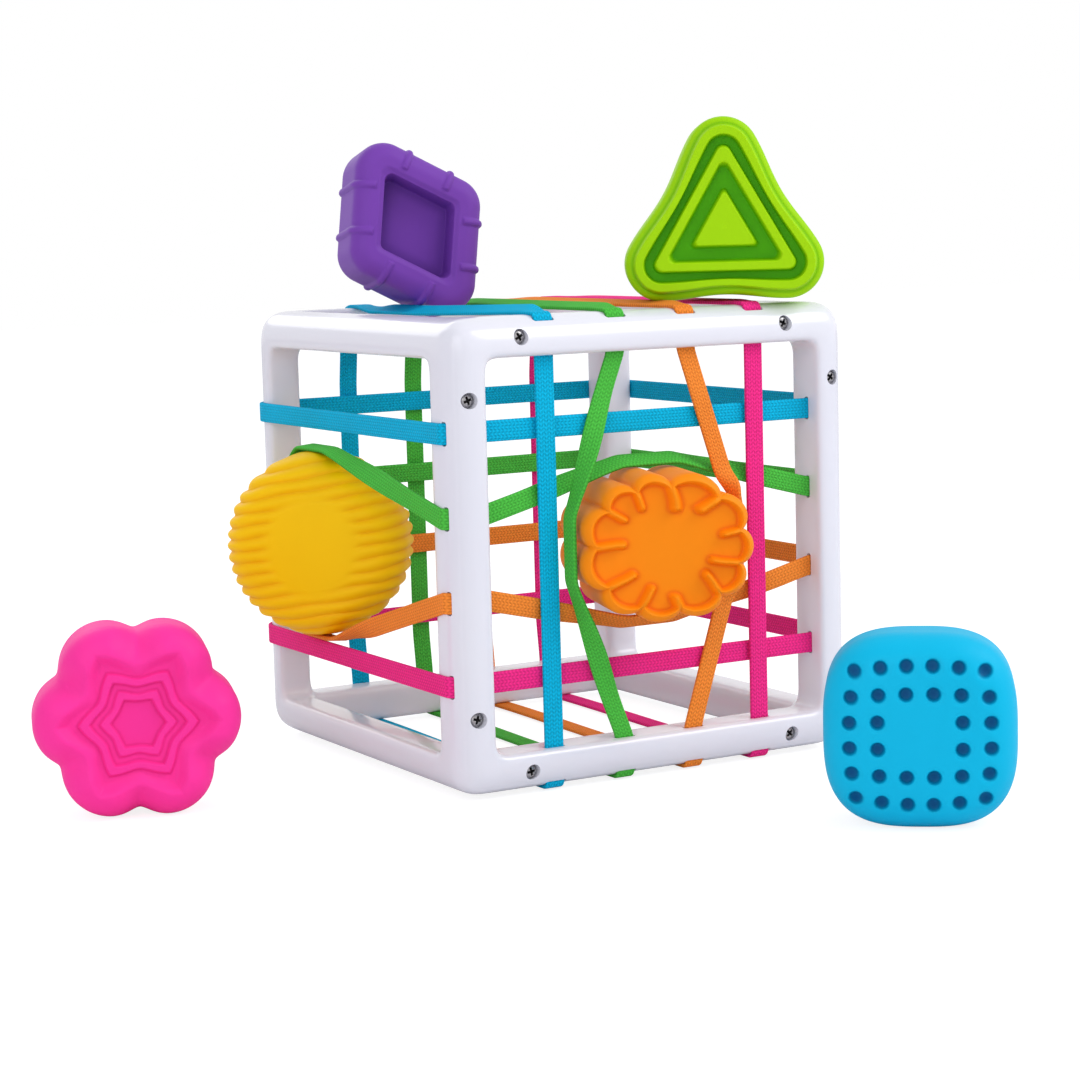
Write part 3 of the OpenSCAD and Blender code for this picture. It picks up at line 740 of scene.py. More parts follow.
@dataclass
class ElasticBand:
    """One closed loop of woven elastic round the cube."""

    name: str
    node: str
    lacing: Lacing
    place: float
    front: Bow = field(default_factory=Bow)
    side: Bow = field(default_factory=Bow)
    roll: float = 0.0
    sag: float = 0.0
    width: float = 6.8
    thickness: float = 1.3
    edge_radius: float = 0.55
    half: float = 75.0
    round_edge: float = 8.0
    window: float = 62.5
    seam: float = -69.5
    seam_gap: float = 0.25
    gap: float = 0.06
    fold: float = 2.2
    back_bow: float = 2.0
    drift: float = 2.5

    @property
    def seam_side(self) -> int:
        """1 behind the seam, for a level band, and -1 before it."""
        return 1 if self.lacing is Lacing.FLAT else -1

    def corner(self, x: float, y: float, radius: float, start: float, shift: float = 0.0) -> Array:
        """A quarter turn of stations round a point, every 9 degrees.

        Args:
            x: the point's first coordinate.
            y: its second.
            radius: distance from the point.
            start: angle of the first station in degrees.
            shift: how far the stations are moved across the plane.

        Returns:
            The stations.
        """
        a = np.radians(start + np.linspace(0, 90, 11))
        return stations(x + radius * np.cos(a), y + radius * np.sin(a), shift, 0.0, a)

    def front_run(self, facing: float) -> Array:
        """Stations up or across the front, kept on their own side of the seam as they twist."""
        place = np.linspace(-self.window - 3, self.window + 3, 64)
        share = self.front.hold(place, -self.window, self.window)
        twist = self.front.turned(share)
        reach = np.abs(np.sin(twist)) * self.width / 2 + np.abs(np.cos(twist)) * self.thickness / 2
        out = self.seam + self.seam_side * (self.seam_gap + reach)
        first, second = (place, out) if self.lacing is Lacing.FLAT else (out, place)
        return stations(first, second, self.front.shift * share, twist, math.radians(facing))

    def loop(self) -> Array:
        """All stations of the loop, in order round the cube."""
        lift = self.gap + self.thickness / 2
        skin, wide, tight = self.half + lift, self.round_edge + lift, self.fold
        turn_in = skin - wide
        first_y = self.seam + self.seam_side * (self.seam_gap + self.thickness / 2)
        near_y, near_z = first_y + tight, skin - tight
        along = np.linspace(near_y + 1.5, self.window, 46)[::-1]
        plain = np.linspace(near_y + 4, turn_in - 3, 34)
        back = np.linspace(turn_in - 3, -turn_in + 3, 40)
        share = self.side.hold(along, near_y, self.window)
        shift = self.side.shift * share
        if self.lacing is Lacing.FLAT:
            return np.concatenate([
                self.corner(-near_z, near_y, tight, 180),
                self.front_run(270),
                self.corner(near_z, near_y, tight, 270),
                stations(skin, plain, 0.0, 0.0, 0.0),
                self.corner(turn_in, turn_in, wide, 0),
                stations(back, skin, 0.0, 0.0, math.pi / 2),
                self.corner(-turn_in, turn_in, wide, 90),
                stations(-skin, along, shift, self.side.turned(share), math.pi),
            ])
        rolled = math.radians(self.roll) * smooth_step(along, first_y + 4, first_y + 9)
        rolled *= 1 - smooth_step(along, self.window - 30, self.window - 2)
        top = skin + self.width / 2 * np.sin(np.abs(rolled)) - self.sag * share
        bulge = self.back_bow * np.clip(4 * (1 - np.abs(back) / self.window), 0, 1)
        drifts = [self.drift * smooth_step(run, -self.window / 2, self.window) for run in (plain, along)]
        return np.concatenate([
            self.corner(near_y, -near_z, tight, 180),
            stations(plain, -skin, drifts[0], 0.0, -math.pi / 2),
            self.corner(turn_in, -turn_in, wide, 270, self.drift),
            stations(skin + bulge, -back, self.drift, 0.0, 0.0),
            self.corner(turn_in, turn_in, wide, 0, self.drift),
            stations(along, top, shift + drifts[1], rolled, math.pi / 2),
            self.corner(near_y, near_z, tight, 90),
            self.front_run(180)[::-1],
        ])

    def track(self, centre: float) -> tuple[Array, Array, Array]:
        """Place of each smoothed station, its unit vector across the band and the one out of its face."""
        s = self.loop()
        facing = np.unwrap(s[:, 4])
        in_plane = np.stack([np.cos(facing), np.sin(facing)], axis=-1)
        axes = [0, 1, 2] if self.lacing is Lacing.FLAT else [1, 2, 0]
        at, outward, wide = np.zeros((3, len(s), 3))
        at[:, axes], outward[:, axes[:2]], wide[:, axes[2]] = s[:, :3], in_plane, 1.0
        at[:, axes[2]] += self.place
        at[:, 2] += centre
        c, sn = np.cos(s[:, 3])[:, None], np.sin(s[:, 3])[:, None]
        smooth = periodic_smooth(np.hstack([at, wide * c + outward * sn, outward * c - wide * sn]), 3)
        at, across, off = np.split(smooth, 3, axis=1)
        unit = lambda v: v / np.linalg.norm(v, axis=1, keepdims=True)
        return at, unit(across), unit(off)

    def build(self, material: bpy.types.Material, centre: float) -> bpy.types.Object:
        """Carry a round-cornered section along the smoothed loop.

        Args:
            material: its finish.
            centre: height of the cube's middle.

        Returns:
            The band.
        """
        at, across, off = self.track(centre)
        section = round_section(self.width, self.thickness, self.edge_radius)
        rings = at[:, None] + across[:, None] * section[None, :, :1] + off[:, None] * section[None, :, 1:]
        rows, columns = rings.shape[:2]
        j, i = np.meshgrid(np.arange(rows), np.arange(columns), indexing="ij")
        nj, ni = (j + 1) % rows, (i + 1) % columns
        faces = np.stack([j * columns + i, j * columns + ni, nj * columns + ni, nj * columns + i], axis=-1)
        step = np.linalg.norm(np.roll(at, -1, 0) - at, axis=1)
        u = np.concatenate([[0], np.cumsum(step)])
        v = section[:, 0] / self.width + 0.5
        corners = [u[j], u[j], u[j + 1], u[j + 1]], [v[i], v[ni], v[ni], v[i]]
        uv = np.stack([np.stack(part, axis=-1) for part in corners], axis=-1)
        turn = -1 if self.lacing is Lacing.FLAT else 1
        faces, uv = faces.reshape(-1, 4)[:, ::turn], uv.reshape(-1, 4, 2)[:, ::turn]
        band = put_mesh(self.name, rings.reshape(-1, 3), faces.tolist(), material, uv=uv)
        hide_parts(self.node)
        "elastic_" + self.node.split("_")[1]
        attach(band, "frame")
        return band


def periodic_smooth(track: Array, steps: int) -> Array:
    """Closed uniform cubic spline through the neighbourhood of each station.

    Each point is the basis (1-t)^3, 3t^3-6t^2+4, -3t^3+3t^2+3t+1 and t^3, over six, times four
    stations in a row.

    Args:
        track: n by k station values.
        steps: points made for each station.

    Returns:
        n * steps by k values.
    """
    t = (np.arange(steps) / steps)[None, :, None]
    basis = [(1 - t) ** 3, 3 * t**3 - 6 * t**2 + 4, -3 * t**3 + 3 * t**2 + 3 * t + 1, t**3]
    parts = [np.roll(track, 1 - k, axis=0)[:, None, :] * basis[k] / 6 for k in range(4)]
    return sum(parts).reshape(-1, track.shape[1])


def round_section(width: float, thickness: float, radius: float) -> Array:
    """Round-cornered rectangle as points: three steps to each corner and four across each flat side."""
    quarter = np.radians(np.array([0.0, 45.0, 90.0]))
    pts = []
    for k, (sx, sy) in enumerate(((1, 1), (-1, 1), (-1, -1), (1, -1))):
        a = quarter + k * math.pi / 2
        cx, cy = sx * (width / 2 - radius), sy * (thickness / 2 - radius)
        pts.append(np.stack([cx + radius * np.cos(a), cy + radius * np.sin(a)], axis=-1))
        if k in (0, 2):
            flat = np.linspace(1, -1, 5)[1:-1] * sx * (width / 2 - radius)
            pts.append(np.stack([flat, np.full_like(flat, sy * thickness / 2)], axis=-1))
    return np.concatenate(pts)


# ---------- the six shapes ----------


@dataclass
class Outline:
    """A closed outline given by core points, outward directions and a radius."""

    core: Array
    out: Array
    radius: Array
    reach: float

    def at(self, inset: Array, floor: float = 0.6) -> Array:
        """Points at each inset: the radius shrinks first, then the core is scaled towards the middle.

        Args:
            inset: one inset for each row.
            floor: the smallest radius kept.

        Returns:
            Rows by columns by 2.
        """
        inset = np.asarray(inset)[:, None]
        keep = np.maximum(floor, self.radius[None, :] - inset)
        left = np.maximum(inset - (self.radius[None, :] - keep), 0)
        scale = np.maximum(1 - left / self.reach, 0.0)
        round_part = keep * np.minimum(1, scale + 0.02)
        return self.core[None] * scale[..., None] + self.out[None] * round_part[..., None]


def polygon_outline(corners: Array, radius: float, columns: int, pinch: float = 0.0) -> Outline:
    """Outline round a convex polygon with round corners, evenly spaced along its length.

    Args:
        corners: centres of the corner circles, counterclockwise.
        radius: radius of the corners.
        columns: number of points.
        pinch: how far the middle of each side is drawn in.

    Returns:
        The outline.
    """
    arc_points, side_points = 120, 240
    core, out, pull, reach = [], [], [], []
    for before, a, b in zip(np.roll(corners, 1, axis=0), corners, np.roll(corners, -1, axis=0)):
        start, end = (math.atan2(*run[::-1]) - math.pi / 2 for run in (a - before, b - a))
        arc = start + np.linspace(0, (end - start) % (2 * math.pi), arc_points)
        t = np.linspace(0, 1, side_points + 2)[1:-1]
        normal = np.array([math.cos(end), math.sin(end)])
        core += [np.tile(a, (arc_points, 1)), a + (b - a) * t[:, None]]
        out += [np.stack([np.cos(arc), np.sin(arc)], axis=-1), np.tile(normal, (side_points, 1))]
        pull += [np.zeros(arc_points), np.sin(math.pi * t) ** 2]
        reach.append(abs(np.dot(a, normal)))
    core, out, pull = np.concatenate(core), np.concatenate(out), np.concatenate(pull)
    edge = core + out * radius
    gap = np.linalg.norm(np.diff(np.vstack([edge, edge[:1]]), axis=0), axis=1)
    length = np.concatenate([[0], np.cumsum(gap)])
    want = np.linspace(0, length[-1], columns, endpoint=False)
    pick = lambda v: np.interp(want, length, np.append(v, v[0]))
    core, out = (np.stack([pick(v[:, 0]), pick(v[:, 1])], axis=-1) for v in (core, out))
    out /= np.linalg.norm(out, axis=1, keepdims=True)
    return Outline(core, out, radius - pick(pull) * pinch, min(reach))


def turns(columns: int) -> Array:
    """Even angles all the way round."""
    return np.linspace(0, 2 * math.pi, columns, endpoint=False)


def polar_outline(radius: Array) -> Outline:
    """Outline given by its distance from the middle at even angles."""
    a = turns(len(radius))
    out = np.stack([np.cos(a), np.sin(a)], axis=-1)
    return Outline(out * 1e-6, out, radius, 1e-3)


def even_rows(*stretches: tuple[float, float, int]) -> Array:
    """Insets of the rows over a face, from stretches of first inset, last inset and number of rows."""
    return np.concatenate([np.linspace(*stretch) for stretch in stretches])


@dataclass
class SoftShape:
    """A moulded silicone shape: an outline with round edges and relief on both faces."""

    name: str
    node: str
    body: str
    place: tuple[float, float, float]
    yaw: float
    thickness: float
    edge: float
    finish: SatinSilicone
    tilt: float = 0.0
    lean: float = 0.0

    def outline(self) -> Outline:
        """The outline seen from the front."""
        raise NotImplementedError

    def insets(self) -> Array:
        """Insets of the rows over one face, from the middle out to the edge."""
        raise NotImplementedError

    def relief(self, xy: Array, inset: Array) -> tuple[Array, Array]:
        """How far the face sinks at each point, and how much painted shade its colour gets."""
        raise NotImplementedError

    def raised(self, xy: Array, inset: Array, front: bool) -> tuple[Array, Array]:
        """Stand the rows of one face up to their height.

        The height is half the thickness, less the relief and less the round edge, which falls away as
        e - sqrt(e^2 - (e - inset)^2).

        Args:
            xy: rows by columns by 2.
            inset: distance in from the outline at each point.
            front: the front face, and not the back.

        Returns:
            Rings, and their depth values.
        """
        fall = np.clip(self.edge - inset, 0, self.edge)
        drop = self.edge - np.sqrt(np.maximum(self.edge**2 - fall**2, 0))
        sink, deep = self.relief(xy, inset)
        height = self.thickness / 2 - drop - sink
        return np.concatenate([xy, (height if front else -height)[..., None]], axis=-1), deep

    def face(self, outline: Outline, front: bool) -> tuple[Array, Array]:
        """Rings of one face, from the middle to the start of the side wall."""
        xy = outline.at(self.insets())
        return self.raised(xy, np.repeat(self.insets()[:, None], xy.shape[1], axis=1), front)

    def scaled_face(
        self, outline: Outline, front: bool, reach: float, radius: Union[float, Array]
    ) -> tuple[Array, Array]:
        """Rings at a share of the outline's own radius, so that every ring keeps its points apart.

        Args:
            outline: the outline.
            front: the front face, and not the back.
            reach: the inset that would be the middle.
            radius: one value for each column, or for all, that turns the share into an inset.

        Returns:
            Rings, and their depth values.
        """
        share = (1 - self.insets() / reach)[:, None]
        xy = outline.out[None] * (outline.radius[None] * share)[..., None]
        return self.raised(xy, np.broadcast_to(radius * (1 - share), xy.shape[:2]), front)

    def rings(self) -> tuple[Array, Array]:
        """All rings from the front middle over the side to the back middle, and their depth values."""
        outline = self.outline()
        front, deep_front = self.face(outline, True)
        back, deep_back = self.face(outline, False)
        share = np.linspace(0, 1, WALL_ROWS + 2)[1:-1, None, None]
        wall = front[-1:] * (1 - share) + back[-1:] * share
        rings = np.concatenate([front, wall, back[::-1]])
        return rings, np.concatenate([deep_front, np.zeros(wall.shape[:2]), deep_back[::-1]])

    def build(self) -> bpy.types.Object:
        """Stand the rings up, turn them to their place and make the piece."""
        rings, deep = self.rings()
        t, y, lean = math.radians(self.tilt), math.radians(-self.yaw), math.radians(self.lean)
        x, z, h = rings[..., 0], rings[..., 1], rings[..., 2]
        x, z = x * math.cos(t) - z * math.sin(t), x * math.sin(t) + z * math.cos(t)
        h, z = h * math.cos(lean) - z * math.sin(lean), h * math.sin(lean) + z * math.cos(lean)
        px = x * math.cos(y) + h * math.sin(y)
        py = x * math.sin(y) - h * math.cos(y)
        points = np.stack([px, py, z], axis=-1) + np.array(self.place)
        piece = shell(self.name, points, self.finish.material(), deep)
        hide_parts(self.node)
        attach(piece, self.body)
        return piece


@dataclass
class RidgedDisc(SoftShape):
    """The yellow disc: wavy level ridges round a smooth middle, and a scalloped rim."""

    radius: float = 31.3
    pitch: float = 4.25
    ridge_tilt: float = 8.0
    furrow: float = 1.0
    scallop: float = 1.2
    dome: float = 2.6
    columns: int = 496

    def outline(self) -> Outline:
        """A circle."""
        return polar_outline(np.full(self.columns, self.radius))

    def insets(self) -> Array:
        """Even rows, closer over the round edge."""
        return even_rows((self.radius - 0.3, 9, 62), (8.6, 0, 34))

    def ridge(self, xy: Array) -> Array:
        """Ridge height from 0 to 1: broad lands with narrow furrows, waved slightly by a slow sine."""
        a = math.radians(-self.ridge_tilt)
        u = xy[..., 0] * math.cos(a) - xy[..., 1] * math.sin(a)
        v = xy[..., 0] * math.sin(a) + xy[..., 1] * math.cos(a)
        wave = v + 0.22 * np.sin(u * 2 * math.pi / 21.0 + v * 0.35) - 0.00105 * u * v
        return (0.5 + 0.5 * np.cos(wave * 2 * math.pi / self.pitch)) ** 0.45

    def relief(self, xy: Array, inset: Array) -> tuple[Array, Array]:
        """Furrows that fade out towards the middle, on a domed face, with painted shade in them."""
        r = np.linalg.norm(xy * np.array([1.08, 0.98]), axis=-1)
        groove = (1 - self.ridge(xy)) * smooth_step(r, 14.0, 20.0)
        dome = self.dome * (np.linalg.norm(xy, axis=-1) / self.radius) ** 2
        # the second value is painted shade in the furrows
        return groove * self.furrow + dome, groove * 0.45

    def rings(self) -> tuple[Array, Array]:
        """Carry the ridges on over the rim as scallops."""
        rings, deep = super().rings()
        xy = rings[..., :2]
        r = np.linalg.norm(xy, axis=-1)
        steep = np.abs(xy[..., 1]) / np.maximum(r, 1e-6)
        side = smooth_step(r, self.radius - 6, self.radius - 0.5) * (1 - smooth_step(steep, 0.86, 0.98))
        cut = (1 - self.ridge(xy)) * side * self.scallop
        rings[..., :2] *= (1 - cut / np.maximum(r, 1.0))[..., None]
        # painted shade in the notches between the scallops
        return rings, np.maximum(deep, cut * 0.35)


@dataclass
class PuffyOval(SoftShape):
    """The orange oval: a scalloped side, a raised rim and rounded folds that run in from the notches."""

    half_width: float = 28.7
    half_height: float = 24.1
    power: float = 2.25
    puffs: int = 11
    notch: float = 3.3
    rim: float = 3.3
    fold_radius: float = 1.25
    floor: float = 3.0
    columns: int = 462

    def phase(self, turn: Array) -> Array:
        """Count of puffs up to an angle, with the puffs made to differ in size by two sines."""
        return (turn + 0.09 * np.sin(2 * turn + 0.6) + 0.05 * np.sin(3 * turn)) * self.puffs / (2 * math.pi)

    def outline(self) -> Outline:
        """Distance of a fat ellipse, (|x/a|^p + |y/b|^p)^(-1/p), less the notches between the puffs."""
        a = turns(self.columns)
        c, s = np.abs(np.cos(a)) / self.half_width, np.abs(np.sin(a)) / self.half_height
        swell = np.abs(np.cos(math.pi * self.phase(a))) ** 0.62
        return polar_outline((c**self.power + s**self.power) ** (-1 / self.power) - self.notch * (1 - swell))

    def insets(self) -> Array:
        """Rows by inset, closer over the rim."""
        return even_rows((20.3, 9, 54), (8.8, 0, 48))

    def relief(self, xy: Array, inset: Array) -> tuple[Array, Array]:
        """Height of a rim that follows the puffs, joined to round-ended folds at the notches.

        The distance to a fold is the distance across it, sqrt(across^2 + past^2), where past is how
        far a point lies beyond its inner end; each fold curls a little towards its end.
        """
        a = np.arctan2(xy[..., 1], xy[..., 0])
        spread = np.linalg.norm(xy / np.array([self.half_width, self.half_height]), axis=-1)
        count = self.phase(a)
        number = np.floor(count)
        curl = 0.20 * np.sin(number * 2.4) * smooth_step(0.86 - spread, 0.0, 0.35)
        off = np.abs(count - number - 0.5 - curl) * 2 * math.pi / self.puffs
        across = off * np.linalg.norm(xy, axis=-1)
        end = 0.60 + 0.07 * np.sin(number * 1.9 + 1.0)
        past = np.maximum(end - spread, 0) * (self.half_width + self.half_height) / 2
        fold = np.sqrt(across**2 + past**2) - self.fold_radius
        gap = np.minimum(fold, inset - self.rim)
        # painted shade along the foot of the rim and the folds, and a little over the sunken floor
        foot = np.exp(-(((gap - 0.7) / 0.7) ** 2))
        deep = np.clip(foot * 0.75 + smooth_step(gap, 0.2, 1.0) * 0.12, 0, 1)
        return self.floor * smooth_step(gap, -1.1, 0.7), deep


@dataclass
class Flower(SoftShape):
    """The pink flower: six round lobes that dip to a star, with two nested raised rings in the middle."""

    lobe: float = 15.0
    ring: float = 17.3
    reach: float = 27.6
    columns: int = 468

    def off_lobe(self, a: Array) -> Array:
        """Angle from the middle of the nearest lobe."""
        return np.abs((a + math.pi / 6) % (math.pi / 3) - math.pi / 6)

    def outline(self) -> Outline:
        """The far crossing of the nearest lobe's circle, with the valleys between lobes rounded."""
        sixth = math.pi / 6
        away = sixth - np.sqrt((sixth - self.off_lobe(turns(self.columns))) ** 2 + 0.0022)
        phi = np.clip(away + 0.004, 0, None)
        return polar_outline(
            self.ring * np.cos(phi) + np.sqrt(self.lobe**2 - (self.ring * np.sin(phi)) ** 2)
        )

    def insets(self) -> Array:
        """Share of the way in, as an inset that any radius passes."""
        return even_rows((27.0, 10, 74), (9.8, 0, 28))

    def face(self, outline: Outline, front: bool) -> tuple[Array, Array]:
        """Rings at a share of the radius."""
        return self.scaled_face(outline, front, self.reach, outline.radius[None])

    def relief(self, xy: Array, inset: Array) -> tuple[Array, Array]:
        """Terraces bounded by stars: radius at an angle is the tip's times a hexagon less a dip.

        From outside in: broad lobes with valleys between them, a bank down to the outer star, its raised
        rim, a lower floor, the rim of the inner star and the plain middle.
        """
        a = np.arctan2(xy[..., 1], xy[..., 0])
        r = np.linalg.norm(xy, axis=-1)
        phi = self.off_lobe(a)
        hexagon = math.cos(math.pi / 6) / np.cos(math.pi / 6 - phi)
        dip = (1 - np.cos(6 * a)) / 2
        star = lambda tip, cut: r - tip * (hexagon - cut * dip)
        edges = [star(18.4, 0.10), star(14.9, 0.08), star(11.7, 0.085), star(8.5, 0.035)]
        first, second, third, fourth = (1 - smooth_step(gap, -0.45, 0.45) for gap in edges)
        bank = 1 - smooth_step(star(24.0, 0.14), -3.0, 2.4)
        valley = smooth_step(phi, math.radians(9), math.radians(30)) * smooth_step(r, 15, 24)
        valley *= 3.0 * (1 - smooth_step(r, 28, 32))
        rims = first * (1 - second) + 0.5 * third * (1 - fourth)
        sink = 2.9 * bank - rims + 0.5 * second * (1 - third) + 0.3 * third + 0.75 * fourth + valley
        # painted shade: lines beside the star edges, and a little over the bank and the inner middle
        lines = sum(np.exp(-(((gap - side) / 0.42) ** 2)) for gap, side in zip(edges, (0.5, -0.5, 0.5, -0.5)))
        return sink, np.clip(lines * 0.4 + bank * 0.10 + fourth * 0.08, 0, 1)


@dataclass
class DimpledSquare(SoftShape):
    """The blue square: bulging sides, wide round edges and rings of round dimples round a plain middle."""

    half_width: float = 28.5
    half_height: float = 29.1
    power: float = 3.05
    dimple: float = 2.4
    pitch: float = 8.0
    bow: float = 0.085
    dome: float = 2.4
    reach: float = 28.75
    columns: int = 480

    def outline(self) -> Outline:
        """Superellipse |x/a|^p + |y/b|^p = 1."""
        a = turns(self.columns)
        c, s = np.abs(np.cos(a)) / self.half_width, np.abs(np.sin(a)) / self.half_height
        return polar_outline((c**self.power + s**self.power) ** (-1 / self.power))

    def insets(self) -> Array:
        """Share of the way in, as an inset that any radius passes."""
        return even_rows((28.4, 8, 76), (7.8, 0, 24))

    def face(self, outline: Outline, front: bool) -> tuple[Array, Array]:
        """Rings at a share of the radius."""
        return self.scaled_face(outline, front, self.reach, self.reach)

    def centres(self) -> Array:
        """Places of the dimples: a 6 by 6 grid less its middle four, with the outer rows bowed."""
        k = (np.arange(6) - 2.5) * self.pitch
        x, y = np.meshgrid(k, k, indexing="ij")
        keep = (np.abs(x) > self.pitch) | (np.abs(y) > self.pitch)
        x, y = x[keep], y[keep]
        pull = lambda other: 1 - self.bow * (other / (2.5 * self.pitch)) ** 2
        return np.stack([x * pull(y), y * pull(x)], axis=-1) * 1.03

    def relief(self, xy: Array, inset: Array) -> tuple[Array, Array]:
        """Round dimples with a bowl-shaped floor and a faint lip, on a domed face, with painted shade in the
        dimples.
        """
        gap = np.min(np.linalg.norm(xy[..., None, :] - self.centres(), axis=-1), axis=-1)
        hole = 1 - smooth_step(gap, self.dimple - 0.9, self.dimple + 0.1)
        lip = np.exp(-(((gap - self.dimple - 0.35) / 0.35) ** 2)) * 0.12
        dome = self.dome * (np.linalg.norm(xy, axis=-1) / 30) ** 2.2
        bowl = hole * (2.3 - 0.5 * (gap / self.dimple) ** 2)
        # the second value is painted shade in the dimples, darkest at their middles
        return bowl + dome + lip, hole * (0.95 - 0.3 * np.clip(gap / self.dimple, 0, 1) ** 2)


@dataclass
class RibbedRhombus(SoftShape):
    """The purple rhombus: a deep pocket in a round rim, with two ribs over each side."""

    side: float = 47.6
    acute: float = 69.0
    corner: float = 10.0
    inner_corner: float = 3.0
    rim: float = 9.2
    pocket: float = 9.0
    rib: float = 1.25
    rib_height: float = 0.95
    rib_places: tuple[float, float] = (0.20, 0.80)
    columns: int = 496

    def corners(self) -> Array:
        """Centres of the corner circles, counterclockwise from the bottom."""
        half = math.radians(self.acute / 2)
        long, short = self.side * math.cos(half), self.side * math.sin(half)
        keep = 1 - self.corner / math.sin(half) / long
        return np.array([[0, -long], [short, 0], [0, long], [-short, 0]]) * keep

    def outline(self) -> Outline:
        """Rhombus with round corners, its acute corners up and down before it is tilted."""
        return polygon_outline(self.corners(), self.corner, self.columns)

    def insets(self) -> Array:
        """Rows by inset, close together at the pocket's wall and over the edge."""
        return even_rows((18.0, 11.4, 12), (11.2, 8.6, 28), (8.4, 6.8, 12), (6.6, 0, 44))

    def face(self, outline: Outline, front: bool) -> tuple[Array, Array]:
        """The pocket keeps its own round corners."""
        rings, deep = super().face(outline, front)
        rings[..., :2] = outline.at(self.insets(), self.inner_corner)
        return rings, deep

    def relief(self, xy: Array, inset: Array) -> tuple[Array, Array]:
        """A pocket with steep walls, a softly rounded lip, and painted shade over the pocket, more along the
        foot of the wall.
        """
        wall = smooth_step(inset, self.rim, self.rim + 1.1)
        lip = 0.9 * smooth_step(inset, self.rim - 1.5, self.rim + 0.1) * (1 - wall)
        shadow = smooth_step(inset, self.rim + 0.2, self.rim + 1.0)
        shadow = shadow * (1 - smooth_step(inset, self.rim + 1.6, self.rim + 4.5))
        return self.pocket * wall + lip, wall * 0.12 + 0.3 * shadow

    def ribs(self, outline: Outline) -> Array:
        """Height of the ribs at each column: half circles on the straight sides, 0 between them."""
        corners = self.corners()
        weight = np.zeros(self.columns)
        for a, b in zip(corners, np.roll(corners, -1, axis=0)):
            length = np.linalg.norm(b - a)
            along = (b - a) / length
            place = (outline.core - a) @ along
            off = np.abs((outline.core - a) @ np.array([along[1], -along[0]]))
            for share in self.rib_places:
                bump = np.sqrt(np.clip(1 - ((place - share * length) / self.rib) ** 2, 0, 1))
                weight = np.maximum(weight, np.where(off < 0.01, bump, 0))
        return self.rib_height * weight

    def rings(self) -> tuple[Array, Array]:
        """Raise the ribs: each is a half-round ridge across the rim, out over the edge and the side."""
        rings, deep = super().rings()
        outline, inset = self.outline(), self.insets()
        both = lambda rows, wall, back=1: np.concatenate([rows, np.full(WALL_ROWS, wall), back * rows[::-1]])
        height = self.ribs(outline) * both(smooth_step(-inset, -7.3, -6.4), 1.0)[:, None]
        tilt = both(np.clip(1 - inset / self.edge, 0, 1), 1.0)[:, None]
        side = both(np.ones(len(inset)), 0.0, -1)[:, None]
        rings[..., :2] += outline.out[None] * (height * tilt)[..., None]
        rings[..., 2] += height * np.sqrt(np.clip(1 - tilt**2, 0, 1)) * side
        return rings, deep


@dataclass
class SteppedTriangle(SoftShape):
    """The lime triangle: a set-back body, a raised rim, a ridge and a raised middle in deep grooves."""

    ring: float = 24.0
    corner: float = 12.0
    inner_corner: float = 2.4
    pinch: float = 1.7
    groove: float = 3.6
    setback: float = 2.6
    columns: int = 456

    def corners(self) -> Array:
        """Centres of the corner circles."""
        angles = np.radians([-150, -30, 90])
        return self.ring * np.stack([np.cos(angles), np.sin(angles)], axis=-1)

    def outline(self) -> Outline:
        """Triangle with round corners and slightly pinched sides."""
        return polygon_outline(self.corners(), self.corner, self.columns, self.pinch)

    def insets(self) -> Array:
        """Rows by inset, close together at every step."""
        return even_rows(
            (22.6, 17.6, 8), (17.3, 15.5, 12), (15.3, 13.4, 6), (13.2, 11.6, 12), (11.4, 10.5, 5),
            (10.3, 8.7, 12), (8.5, 7.1, 6), (6.9, 5.3, 12), (5.1, 3.8, 7), (3.6, 2.0, 13), (1.9, 0.0, 12),
        )

    def face(self, outline: Outline, front: bool) -> tuple[Array, Array]:
        """The pinch fades inwards, and the inner corners keep a radius of their own."""
        rings, deep = super().face(outline, front)
        inset = self.insets()
        plain = polygon_outline(self.corners(), self.corner, self.columns)
        fade = smooth_step(inset, 3.0, 9.5)[:, None, None]
        pinched, straight = (line.at(inset, self.inner_corner) for line in (outline, plain))
        rings[..., :2] = pinched * (1 - fade) + straight * fade
        return rings, deep

    def relief(self, xy: Array, inset: Array) -> tuple[Array, Array]:
        """Heights by inset: body, rim, groove, ridge, groove and plateau, each wall a smooth step."""
        step = lambda at, width=0.5: smooth_step(inset, at - width, at + width)
        outside = 1 - step(2.8, 0.6)
        seat = np.exp(-(((inset - 2.3) / 0.6) ** 2))
        grooves = step(6.2) * (1 - step(9.5)) + step(12.4) * (1 - step(16.3))
        # painted shade in the grooves, a little over the set-back body and more at its step
        deep = np.clip(grooves, 0, 1) + 0.12 * outside + 0.40 * seat
        return self.setback * outside + self.groove * grooves, np.clip(deep, 0, 1)


